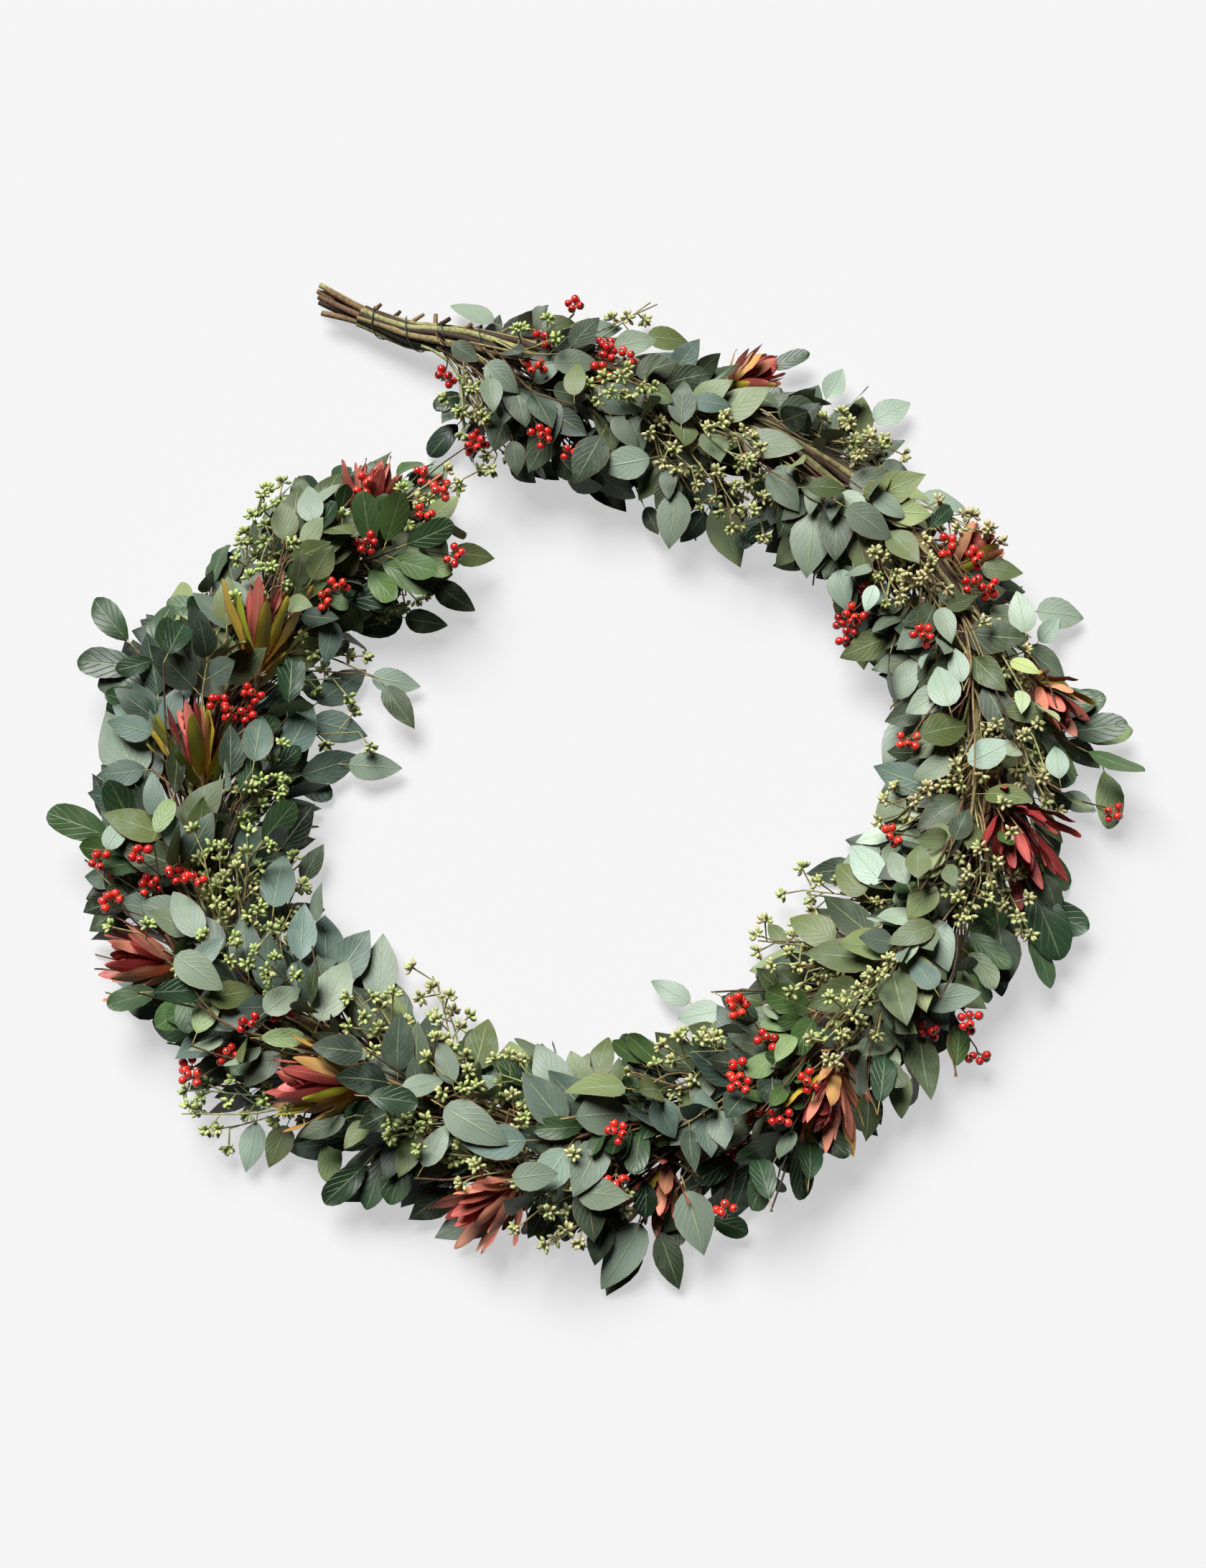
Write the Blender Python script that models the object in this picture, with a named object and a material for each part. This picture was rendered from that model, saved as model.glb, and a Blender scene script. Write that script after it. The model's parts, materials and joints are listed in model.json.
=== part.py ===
"""A winter garland of mixed greenery, laid on a table in an almost closed ring.

A bundle of woody stems, bound with wire, runs the whole length of the garland and ends in bare cut stems.
Eucalyptus bunches, cotoneaster branches, panicles of eucalyptus buds, bunches of red berries and conebush
blooms are bound on along it, each pointing from the bare end towards the tip. Every bunch is one closed body.
"""

import math
import random
from bisect import bisect_right

import bpy
from mathutils import Matrix, Vector
from mathutils.bvhtree import BVHTree

MM = 0.001
UP = Vector((0, 0, 1))
SEED = 11

# The photograph looks down on the table from the front. A berry of 12.5 pixels is 7.5 mm across.
PIXEL = 0.6 * MM
PHOTO_MIDDLE = (840, 1092)
CAMERA_TILT = math.radians(70)
CAMERA_DISTANCE = 2.6

# What keeps two nodes apart, what keeps all but the resting leaves off the table, and the foliage's height.
CLEARANCE = 0.35 * MM
FLOOR_GAP = 1.0 * MM
MOUND = 60 * MM
MOUND_SUNK = 20 * MM

# Middle of the stem bundle from its cut end to the garland's tip: photograph pixel, height and radius in mm.
STEM_BUNDLE = (
    (505, 440, 22, 11), (560, 464, 26, 13), (620, 470, 33, 13), (700, 482, 42, 13), (828, 521, 50, 13),
    (940, 552, 54, 13), (1057, 592, 56, 13), (1140, 645, 56, 13), (1211, 694, 55, 13), (1285, 765, 54, 13),
    (1342, 860, 52, 12), (1362, 960, 50, 12), (1368, 1060, 48, 12), (1355, 1160, 45, 12), (1312, 1255, 42, 12),
    (1240, 1345, 39, 12), (1155, 1425, 37, 12), (1070, 1500, 36, 12), (975, 1550, 35, 12), (880, 1580, 34, 12),
    (780, 1582, 34, 12), (680, 1560, 34, 12), (580, 1520, 34, 12), (485, 1475, 34, 12), (395, 1415, 34, 12),
    (328, 1345, 34, 12), (285, 1255, 34, 12), (270, 1155, 34, 12), (282, 1060, 34, 12), (312, 965, 34, 11),
    (362, 872, 34, 11), (435, 798, 35, 10), (510, 755, 36, 8), (575, 730, 38, 5),
)
BUNDLE_STEP = 50 * MM
BUNDLE_SIDES = 8
CUT_STEMS = 7
WIRE = 0.6 * MM
WIRE_TURNS = (34 * MM, 220 * MM, 120 * MM)  # a turn's length on the bare stems and beyond, and where that begins

# Middle of the foliage along the same way: photograph pixel and half width in pixels.
FOLIAGE_LEVEL = 38
FOLIAGE = (
    (640, 540, 85), (740, 555, 100), (850, 575, 118), (950, 605, 128), (1050, 645, 125), (1150, 695, 120),
    (1235, 765, 118), (1300, 855, 118), (1345, 950, 118), (1365, 1050, 128), (1358, 1150, 130),
    (1318, 1250, 130), (1243, 1345, 128), (1155, 1430, 125), (1075, 1505, 122), (980, 1560, 122),
    (880, 1595, 128), (780, 1598, 120), (680, 1572, 112), (580, 1530, 108), (480, 1485, 112),
    (385, 1430, 122), (312, 1355, 135), (265, 1260, 150), (252, 1155, 150), (265, 1055, 150),
    (300, 955, 145), (355, 860, 130), (430, 785, 122), (515, 740, 105), (590, 715, 85),
)

# Conebush blooms: pixel of the base, heading in degrees from the photograph's right, height, length in mm.
BLOOMS = (
    (360, 925, 86, 62, 86), (278, 1082, 104, 62, 78), (240, 1342, 178, 54, 70), (500, 1512, 184, 62, 88),
    (712, 1655, 214, 44, 74), (1160, 1496, 254, 60, 78), (1402, 1130, 284, 64, 88), (512, 722, 78, 62, 62),
)
WHORLS = ((1, 3, 0.30, 0.86), (0, 6, 0.72, 1.0))  # level on the hub, bracts, lean and share of the bloom's length

# Bunches of berries: pixel of the middle, height, number of clusters.
BERRIES = (
    (800, 428, 62, 1), (845, 490, 78, 2), (650, 622, 30, 1), (1178, 868, 34, 1), (1350, 805, 76, 1),
    (1292, 1436, 44, 1), (1055, 1440, 70, 1), (1054, 1552, 64, 1), (266, 1488, 38, 1), (166, 1212, 52, 2),
    (350, 968, 74, 1), (530, 755, 76, 1),
)

# Panicles of eucalyptus buds: pixel of the middle, heading, height, number of umbels.
PANICLES = (
    (650, 575, 262, 44, 3), (1012, 650, 262, 62, 4), (1185, 628, 8, 60, 3), (1240, 806, 258, 64, 3),
    (1396, 930, 322, 64, 4), (1450, 1075, 276, 60, 3), (1112, 1335, 196, 64, 4), (1205, 1412, 256, 68, 3),
    (915, 1500, 172, 62, 3), (724, 1562, 160, 72, 4), (552, 1436, 128, 64, 3), (334, 1245, 100, 72, 3),
    (600, 680, 40, 60, 3),
)

# Cotoneaster branches: pixel of the end, heading, height, pairs of leaves.
BRANCHES = (
    (575, 745, 24, 66, 3), (190, 905, 132, 50, 3), (165, 1172, 170, 50, 3), (232, 1376, 212, 48, 3),
    (520, 1610, 232, 36, 3), (1100, 1592, 236, 48, 3), (1436, 1262, 292, 40, 3), (1500, 1040, 330, 46, 3),
)

# Eucalyptus bunches stand an equal step apart, with stems to the middle, the outer and the inner side.
BUNCHES = 13
BUNCH_STEMS = ((0.02, 66, 2), (0.55, 34, 1), (-0.55, 34, 1))  # share of the half width, height, pairs
RESTING_STEM = (0.55, 5 * MM, 20 * MM)  # share of the half width, height of its end, how far ahead it ends

# Eucalyptus stems that trail on to the table with one leaf: pixel of the stem's end, heading.
TRAILERS = ((893, 1704, 241),)

# How far back along the bundle each kind of stem is bound on, and its radius.
BINDING = {
    "bloom": (46 * MM, 2.4 * MM), "berries": (34 * MM, 1.5 * MM), "buds": (62 * MM, 1.6 * MM),
    "cotoneaster": (78 * MM, 1.9 * MM), "eucalyptus": (88 * MM, 1.9 * MM), "resting": (0, 1.5 * MM),
}
TAPER = 0.45
SQUARE = 0.8  # half the side of a leafy stem as a share of its radius
TRIES = {"stem": 40, "leaf": 22, "bract": 16, "cluster": 14}

# Sizes of what grows on the stems.
SEGMENT = 2 * MM
BLADE = 0.9 * MM
STALK = 10 * MM
SPREAD = (40, 62)  # degrees between a leaf and its stem
ARCHES = (0.25, 0.45, 0.65, -0.25)
LEAF_SIZE = {"eucalyptus": (54 * MM, 30 * MM), "cotoneaster": (50 * MM, 25 * MM)}
LEAF_FORM = {  # share of the length, and half width as a share of the width
    "eucalyptus": ((0.0, 0.06), (0.30, 0.47), (0.68, 0.40), (1.0, 0.0)),
    "cotoneaster": ((0.0, 0.06), (0.38, 0.40), (0.76, 0.44), (1.0, 0.12)),
    "bract": ((0.36, 0.44), (0.70, 0.42), (1.0, 0.0)),
}
BRACT_WIDTH = 15 * MM
BRACT_ARCH = -0.35
FRUIT = {  # whether it has six sides and not three, then distance and radius of its rings and its length in mm
    "bud": (False, ((6.0, 2.3),), 9.5), "berry": (True, ((6.4, 3.5), (9.8, 3.3)), 11.8),
}

LOOKS = {  # colour and roughness of each kind of node
    "stem_bundle": ((0.16, 0.10, 0.05), 0.8), "binding_wire": ((0.05, 0.09, 0.05), 0.45),
    "bloom": ((0.42, 0.08, 0.07), 0.5), "berries": ((0.60, 0.03, 0.01), 0.25),
    "buds": ((0.34, 0.34, 0.13), 0.55), "cotoneaster": ((0.04, 0.09, 0.03), 0.35),
    "eucalyptus": ((0.15, 0.22, 0.14), 0.6),
}
SMOOTH_BELOW = math.radians(40)


def seen_at(px, py, height):
    """The point at this height above the table that the photograph shows at a pixel."""
    ahead = Vector((0, math.cos(CAMERA_TILT), -math.sin(CAMERA_TILT)))
    above = Vector((0, math.sin(CAMERA_TILT), math.cos(CAMERA_TILT)))
    eye = -ahead * CAMERA_DISTANCE
    ray = ahead * CAMERA_DISTANCE + above * (PHOTO_MIDDLE[1] - py) * PIXEL
    ray.x += (px - PHOTO_MIDDLE[0]) * PIXEL
    return eye + ray * ((height - eye.z) / ray.z)


def heading(degrees, rise=0.0):
    """The direction that the photograph shows at this angle from its right, and how much it rises."""
    turn = math.radians(degrees)
    level = Vector((math.cos(turn), math.sin(turn) / math.sin(CAMERA_TILT), 0)).normalized()
    return (level + UP * rise).normalized()


class Line:
    """A smooth line through points that carry a fourth number, such as a radius or a half width."""

    STEPS = 16
    REACH = 6 * MM
    TESTED = 240

    def __init__(self, points):
        ends = [2 * points[0] - points[1], *points, 2 * points[-1] - points[-2]]
        self.points = []
        for a, b, c, d in zip(ends, ends[1:], ends[2:], ends[3:]):
            for i in range(self.STEPS):
                t = i / self.STEPS
                bend = (2 * a - 5 * b + 4 * c - d) * t * t + (3 * b - a - 3 * c + d) * t ** 3
                self.points.append(0.5 * (2 * b + (c - a) * t + bend))
        self.points.append(points[-1])
        self.far = [0.0]
        for a, b in zip(self.points, self.points[1:]):
            self.far.append(self.far[-1] + (b - a).to_3d().length)
        self.length = self.far[-1]

    def at(self, s):
        s = min(max(s, 0.0), self.length)
        i = min(bisect_right(self.far, s), len(self.far) - 1) - 1
        share = (s - self.far[i]) / (self.far[i + 1] - self.far[i])
        return self.points[i].lerp(self.points[i + 1], share)

    def along(self, s):
        return (self.at(s + self.REACH) - self.at(s - self.REACH)).to_3d().normalized()

    def nearest(self, point):
        """How far along the line comes nearest to a point."""
        places = (self.length * i / self.TESTED for i in range(self.TESTED + 1))
        return min(places, key=lambda s: (self.at(s).to_3d() - point).length)


class Skin:
    """A closed surface, made of rows of corners with bands of triangles between them."""

    def __init__(self):
        self.verts, self.faces = [], []

    def row(self, points):
        first = len(self.verts)
        self.verts += points
        return list(range(first, len(self.verts)))

    def face(self, *corners):
        if len(set(corners)) == 3:
            self.faces.append(corners)

    def band(self, row, following, leave_out=()):
        """Two triangles for each side of the row, apart from the sides that something grows from."""
        for k, corner in enumerate(row):
            if k not in leave_out:
                after = (k + 1) % len(row)
                self.face(corner, row[after], following[after])
                self.face(corner, following[after], following[k])

    def cap(self, row):
        for k in range(1, len(row) - 1):
            self.face(row[0], row[k], row[k + 1])

    def blade(self, row, leaf, grow=0.0):
        """A leaf's blade, grown from a row of four corners."""
        for points in leaf.rows(grow):
            following = self.row(points)
            if len(following) == 2:
                following = [following[0], following[0], following[1], following[1]]
            self.band(row, following)
            row = following
        self.cap(row)

    def shape(self):
        """Corners and faces, with the faces pointing out."""
        volume = sum(self.verts[a].dot(self.verts[b].cross(self.verts[c])) for a, b, c in self.faces)
        return self.verts, [face[::-1] for face in self.faces] if volume < 0 else self.faces


def crosses_itself(shape):
    """Whether two faces of a shape meet that share no corner."""
    verts, faces = shape
    tree = BVHTree.FromPolygons(verts, faces)
    return any(a < b and not set(faces[a]) & set(faces[b]) for a, b in tree.overlap(tree))


def four(middle, side, face, wide, thick):
    """Corners of a station across a stem or a blade."""
    return [middle + side * wide * a + face * thick * b for a, b in ((-1, 1), (1, 1), (1, -1), (-1, -1))]


def tube(points, radii, sides, lobe=0.0, twist=0.0):
    """A closed tube through the points. A lobe makes it knobbly."""
    skin, before = Skin(), None
    across = (points[1] - points[0]).orthogonal().normalized()
    for i, (point, radius) in enumerate(zip(points, radii)):
        ahead = (points[min(i + 1, len(points) - 1)] - points[max(i - 1, 0)]).normalized()
        across = (across - ahead * across.dot(ahead)).normalized()
        beside = ahead.cross(across)
        corners = []
        for k in range(sides):
            turn = math.tau * k / sides + twist * i
            reach = radius * (1 - lobe * (k % 2))
            corners.append(point + (across * math.cos(turn) + beside * math.sin(turn)) * reach)
        row = skin.row(corners)
        if before:
            skin.band(before, row)
        else:
            skin.cap(row[::-1])
        before = row
    skin.cap(before)
    return skin.shape()


class Leaf:
    """A blade on its stalk: where the stalk roots, where the blade starts, which way it points and faces."""

    def __init__(self, kind, root, base, ahead, face, length, width, arch):
        self.kind, self.root, self.base = kind, root, base
        self.ahead = ahead.normalized()
        self.face = (face - self.ahead * face.dot(self.ahead)).normalized()
        self.side = self.ahead.cross(self.face)
        self.length, self.width, self.arch = length, width, arch

    def station(self, share):
        """Middle and face of the blade at a share of its length, bent to an arc."""
        if self.arch == 0:
            return self.base + self.ahead * self.length * share, self.face
        turn = self.arch * share
        reach = self.length / self.arch
        middle = self.base + self.ahead * math.sin(turn) * reach - self.face * (1 - math.cos(turn)) * reach
        return middle, self.face * math.cos(turn) + self.ahead * math.sin(turn)

    def rows(self, grow=0.0):
        """Four corners across the blade for each station, and two where it ends in an edge."""
        for share, wide in LEAF_FORM[self.kind]:
            middle, face = self.station(share)
            corners = four(middle, self.side, face, wide * self.width + grow, BLADE / 2 + grow)
            yield corners if wide else [middle + face * (BLADE / 2 + grow), middle - face * (BLADE / 2 + grow)]

    def shape(self, grow=0.0, stalk=True):
        skin, start = Skin(), self.root if stalk else self.base - self.ahead * BLADE
        row = skin.row(four(start, self.side, self.face, BLADE + grow, BLADE + grow))
        skin.cap(row[::-1])
        skin.blade(row, self, grow)
        return skin.shape()


class Stem:
    """A stem. Leaves grow in pairs at its joints, and one at its end. They are kept by joint and hand."""

    def __init__(self, points, radii, sides):
        self.points, self.radii, self.sides = points, radii, sides
        self.end = len(points) - 1
        self.faces, self.leaves = {}, {}

    def at(self, place):
        """Middle, direction and radius at a place counted in points."""
        i = min(int(place), self.end - 1)
        along = (self.points[i + 1] - self.points[i]).normalized()
        radius = self.radii[i] + (self.radii[i + 1] - self.radii[i]) * (place - i)
        return self.points[i].lerp(self.points[i + 1], place - i), along, radius

    def shape(self, grow=0.0):
        return tube(self.points, [r + grow for r in self.radii], self.sides)

    def leafy(self):
        """The stem and its leaves as one skin. A leaf grows out of a short stretch of the stem's side."""
        usual = next(iter(self.faces.values()), UP)
        skin, before = Skin(), None
        for joint in range(self.end + 1):
            middle, along, radius = self.at(joint)
            leaves = {hand: self.leaves.get((joint, hand)) for hand in (-1, 0, 1)}
            face = leaves[0].face if leaves[0] else self.faces.get(joint, usual)
            side = along.cross(face).normalized()
            up = side.cross(along)
            grown = {side_of: leaves[hand] for side_of, hand in ((3, -1), (1, 1)) if leaves[hand]}
            for step in (-1, 1) if grown else (0,):
                wide = radius * SQUARE
                row = skin.row(four(middle + along * SEGMENT * step, side, up, wide, wide))
                if before is None:
                    skin.cap(row[::-1])
                elif step < 1:
                    skin.band(before, row)
                else:
                    skin.band(before, row, grown)
                    if 3 in grown:
                        skin.blade([before[0], row[0], row[3], before[3]], grown[3])
                    if 1 in grown:
                        skin.blade([row[1], before[1], before[2], row[2]], grown[1])
                before = row
        if leaves[0]:
            skin.blade(before, leaves[0])
        else:
            skin.cap(before)
        return skin.shape()


class Cluster:
    """Buds or berries on one stalk: some round it, and one at its end."""

    HUB = ((0, 0.8), (0, 0.9), (2, 1.2))  # height over the centre and radius of its rings, in mm
    BARE = {5: (0, 3), 6: (0,)}

    def __init__(self, kind, root, centre, axis, spin, count):
        self.kind, self.root, self.centre, self.axis, self.spin = kind, root, centre, axis, spin
        self.bare = self.BARE[count]

    def ways(self):
        """The way that each fruit points, with None for a side that is bare."""
        across = self.axis.orthogonal().normalized()
        for k in range(6):
            aside = Matrix.Rotation(self.spin + math.tau * k / 6, 3, self.axis) @ across
            yield None if k in self.bare else (aside + self.axis * (0.25 if k % 2 else 0.65)).normalized()
        yield self.axis

    def shape(self, grow=0.0):
        skin, ways = Skin(), list(self.ways())
        across = self.axis.orthogonal().normalized()
        rows = []
        for middle, (height, radius) in zip((self.root, self.centre, self.centre), self.HUB):
            turns = [Matrix.Rotation(self.spin + math.tau * (k - 0.25) / 3, 3, self.axis) for k in range(3)]
            level = middle + self.axis * height * MM
            rows.append(skin.row([level + turn @ across * radius * MM for turn in turns]))
        skin.cap(rows[0][::-1])
        skin.band(rows[0], rows[1])
        for k in range(3):
            low, low_after = rows[1][k], rows[1][(k + 1) % 3]
            high, high_after = rows[2][k], rows[2][(k + 1) % 3]
            self.fruit(skin, [low, high_after, high], ways[2 * k], grow)
            self.fruit(skin, [low, low_after, high_after], ways[2 * k + 1], grow)
        self.fruit(skin, rows[2], ways[6], grow)
        return skin.shape()

    def fruit(self, skin, root, way, grow):
        """A bud or a berry, grown from three corners of the hub."""
        if way is None:
            skin.cap(root)
            return
        double, rings, length = FRUIT[self.kind]
        corners = [skin.verts[k] for k in root]
        middle = sum(corners, Vector()) / 3
        spread = [((c - middle) - way * (c - middle).dot(way)).normalized() for c in corners]
        if double:
            spread = [s for a, b in zip(spread, spread[1:] + spread[:1]) for s in (a, (a + b).normalized())]
            root = [k for k in root for _ in range(2)]
        for far, radius in rings:
            row = skin.row([middle + way * far * MM + s * (radius * MM + grow) for s in spread])
            skin.band(root, row)
            root = row
        skin.band(root, skin.row([middle + way * (length * MM + grow)]) * len(root))


class Bloom:
    """Bracts in an outer and an inner whorl round a closed cone, on a hub of six sides."""

    SIDES = 6
    HUB = ((-3, 4.0), (2, 6.5), (8, 6.0))  # height along the axis and radius of its rings, in mm
    CONE = ((0.34, 6.0), (0.56, 0.0))  # the same for the cone, with the height as a share of the bloom's length

    def __init__(self, base, axis, size):
        self.base, self.axis, self.size = base, axis, size
        self.across = axis.orthogonal().normalized()
        self.bracts = {}

    def aside(self, k):
        return Matrix.Rotation(math.tau * k / self.SIDES, 3, self.axis) @ self.across

    def rings(self, grow):
        for height, radius in (*self.HUB, *((share * self.size / MM, radius) for share, radius in self.CONE)):
            middle = self.base + self.axis * (height * MM + (0 if radius else grow))
            reach = radius * MM + grow if radius else 0
            yield [middle + self.aside(k) * reach for k in range(self.SIDES)]

    def shape(self, grow=0.0):
        skin, before = Skin(), None
        for level, corners in enumerate(self.rings(grow)):
            pointed = corners[0] == corners[1]
            row = skin.row(corners[:1]) * self.SIDES if pointed else skin.row(corners)
            if before is None:
                skin.cap(row[::-1])
            else:
                grown = {k: bract for (whorl, k), bract in self.bracts.items() if whorl == level - 1}
                skin.band(before, row, grown)
                for k, bract in grown.items():
                    after = (k + 1) % self.SIDES
                    skin.blade([row[after], row[k], before[k], before[after]], bract, grow)
            before = row
        return skin.shape()


class Space:
    """Holds what is placed, and tells whether a shape would cross it."""

    def __init__(self):
        self.taken = []

    @staticmethod
    def entry(node, shape, blade=False):
        verts, faces = shape
        low = [min(v[k] for v in verts) for k in range(3)]
        high = [max(v[k] for v in verts) for k in range(3)]
        return node, low, high, BVHTree.FromPolygons(verts, faces), blade

    @staticmethod
    def meets(one, other):
        if any(one[1][k] > other[2][k] or other[1][k] > one[2][k] for k in range(3)):
            return False
        return bool(one[3].overlap(other[3]))

    def add(self, node, shape, blade=False):
        self.taken.append(self.entry(node, shape, blade))

    def free(self, node, shape, floor=FLOOR_GAP):
        """Whether a shape is above the floor and clear of every other node."""
        tried = self.entry(node, shape)
        if tried[1][2] < floor:
            return False
        return not any(self.meets(tried, other) for other in self.taken if other[0] != node)

    def crowded(self, node, shape, blades_only=False):
        """Whether a blade would cross what its own node already has."""
        tried = self.entry(node, shape)
        own = [other for other in self.taken if other[0] == node and (other[4] or not blades_only)]
        return any(self.meets(tried, other) for other in own)

    def nearest(self, node, point):
        """Nearest point on a node, and the way out of its surface there."""
        found = [entry[3].find_nearest(point) for entry in self.taken if entry[0] == node]
        place, way, _, _ = min(found, key=lambda f: f[3])
        return place, way


def arc(start, out, end, toward, pairs):
    """Points on the curve that leaves start along out and reaches end along toward, with one for each pair."""
    reach = (end - start).length * 0.38
    b, c = start + out * reach, end - toward * reach
    joints = max(pairs, 1)
    points = []
    for t in (0, 0.12, *(0.45 + 0.55 * k / joints for k in range(joints)), 1):
        points.append(start * (1 - t) ** 3 + b * 3 * t * (1 - t) ** 2 + c * 3 * t * t * (1 - t) + end * t ** 3)
    return points


class Garland:
    """The lines that the garland follows, what stands along them, and how each kind of piece is grown."""

    def __init__(self):
        bundle = [seen_at(x, y, z * MM).to_4d() for x, y, z, _ in STEM_BUNDLE]
        for point, row in zip(bundle, STEM_BUNDLE):
            point.w = row[3] * MM
        foliage = [seen_at(x, y, FOLIAGE_LEVEL * MM).to_4d() for x, y, _ in FOLIAGE]
        for point, row in zip(foliage, FOLIAGE):
            point.w = row[2] * PIXEL
        self.bundle, self.foliage = Line(bundle), Line(foliage)
        count = round(self.bundle.length / BUNDLE_STEP)
        self.stops = [self.bundle.at(self.bundle.length * i / count) for i in range(count + 1)]
        self.space = Space()
        self.rng = random.Random(SEED)
        self.pieces = {}

    def in_bundle(self, s):
        """Middle and radius of the bundle, which runs straight from stop to stop."""
        place = s / self.bundle.length * (len(self.stops) - 1)
        i = min(int(place), len(self.stops) - 2)
        return self.stops[i].lerp(self.stops[i + 1], place - i)

    def put(self, node, piece, shape):
        """Adds a piece to a node. Its shape is what the pieces that come later keep clear of."""
        self.space.add(node, shape, isinstance(piece, Leaf))
        self.pieces.setdefault(node, []).append(piece)

    def nudge(self, size):
        return Vector([self.rng.uniform(-size, size) for _ in range(3)])

    def out_from(self, point):
        """The way out of the foliage at a point, as on a low mound."""
        middle = self.foliage.at(self.foliage.nearest(point))
        away = point - middle.to_3d()
        away.z = 0
        return (away / middle.w ** 2 + UP * (point.z + MOUND_SUNK) / MOUND ** 2).normalized()

    def bound_at(self, aim, back, radius):
        """Where a stem is bound on to the bundle: its first point, the way out there, and the way ahead."""
        s = max(self.bundle.nearest(aim) - back, 24 * MM)
        middle, ahead = self.bundle.at(s), self.bundle.along(s)
        lean = aim - middle.to_3d()
        lean = (lean - ahead * lean.dot(ahead)).normalized()
        place, way = self.space.nearest("stem_bundle", middle.to_3d() + lean * middle.w * 1.5)
        return place + way * (radius * 0.75 + CLEARANCE), way, ahead

    def stem(self, node, aim, toward, sort, parent=None, pairs=0, sides=4, wander=3 * MM):
        """A stem to a place, clear of every other node, from the bundle or its parent. None where none fits."""
        back, radius = BINDING[sort]
        for attempt in range(TRIES["stem"]):
            shift = self.rng.uniform(-16, 16) * MM * (attempt > 0)
            if parent:
                start, ahead, _ = parent.at(self.rng.uniform(0.08, 0.34) * parent.end)
                out = (ahead + (aim - start).normalized() * (0.4 + 0.06 * attempt)).normalized()
            else:
                start, way, ahead = self.bound_at(aim, back + shift, radius)
                out = (ahead + way * (0.25 + 0.05 * attempt)).normalized()
            points = arc(start, out, aim + self.nudge(wander * min(attempt, 5)), toward, pairs)
            radii = [radius * (1 - TAPER * i / len(points)) for i in range(len(points))]
            stem = Stem(points, radii, sides)
            if self.space.free(node, stem.shape(CLEARANCE * 0.8)):
                self.put(node, stem, stem.shape())
                return stem
        return None

    def leaf(self, node, kind, stem, place, ahead, face, flat=False):
        """A leaf at a place on a stem, turned a little at a time until it is clear. None where none fits."""
        joint, hand = place
        root, along, radius = stem.at(joint)
        root = root + along.cross(face).normalized() * hand * radius * SQUARE
        length, width = LEAF_SIZE[kind]
        for attempt in range(TRIES["leaf"]):
            spread = 0.10 + 0.05 * attempt
            turned = (ahead + self.nudge(spread) + face * 0.05 * attempt).normalized()
            shown = face + self.nudge(spread * 1.4)
            scale = self.rng.uniform(0.86, 1.10) * (1 - 0.014 * attempt)
            arch = self.rng.choice(ARCHES)
            base = root + turned * STALK
            if flat:
                arch, shown = 0, UP
                base.z = BLADE / 2
                turned = Vector((turned.x, turned.y, 0))
            else:
                turned.z = max(turned.z, (4 * MM - base.z) / (length * scale))
            leaf = Leaf(kind, root, base, turned, shown, length * scale, width * scale, arch)
            floor = -BLADE if flat else FLOOR_GAP + CLEARANCE
            if not self.space.free(node, leaf.shape(CLEARANCE * 0.8), floor):
                continue
            if self.space.crowded(node, leaf.shape(stalk=False)):
                continue
            stem.leaves[place] = leaf
            if not crosses_itself(stem.leafy()):
                self.put(node, leaf, leaf.shape())
                return leaf
            del stem.leaves[place]
        return None

    def leaves(self, node, kind, stem, pairs):
        """Pairs of leaves along a stem, and one at its end."""
        for joint in range(2, 2 + pairs):
            root, along, _ = stem.at(joint)
            face = self.out_from(root)
            side = along.cross(face).normalized()
            stem.faces[joint] = face
            for hand in (-1, 1):
                turn = math.radians(self.rng.uniform(*SPREAD))
                ahead = along * math.cos(turn) + side * hand * math.sin(turn) + face * 0.22
                self.leaf(node, kind, stem, (joint, hand), ahead, face)
        end, along, _ = stem.at(stem.end)
        face = self.out_from(end)
        self.leaf(node, kind, stem, (stem.end, 0), along + face * 0.15, face)
        self.space.add(node, stem.leafy())


def stem_bundle(garland):
    """The bound stems: one knobbly rope that frays into seven cut stems at the bare end."""
    node, line = "stem_bundle", garland.bundle
    middles, radii = [p.to_3d() for p in garland.stops], [p.w for p in garland.stops]
    rope = tube(middles, radii, BUNDLE_SIDES, lobe=0.2, twist=0.35)
    garland.put(node, rope, rope)
    start, ahead = line.at(0), line.along(0)
    beside = UP.cross(ahead).normalized()
    for k in range(CUT_STEMS):
        turn = math.tau * k / (CUT_STEMS - 1)
        inside = 0 if k == CUT_STEMS - 1 else 0.58
        offset = (beside * math.cos(turn) + UP * math.sin(turn)) * start.w * inside
        splay = offset * garland.rng.uniform(0.2, 0.9) + beside * garland.rng.uniform(-3, 3) * MM
        length = garland.rng.uniform(26, 52) * MM
        points = [line.at(45 * MM).to_3d() + offset * 0.8, start.to_3d() + offset]
        points.append(points[1] - ahead * length + splay)
        cut_stem = tube(points, [3.6 * MM, 3.4 * MM, 2.8 * MM], 5)
        garland.put(node, cut_stem, cut_stem)


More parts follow.
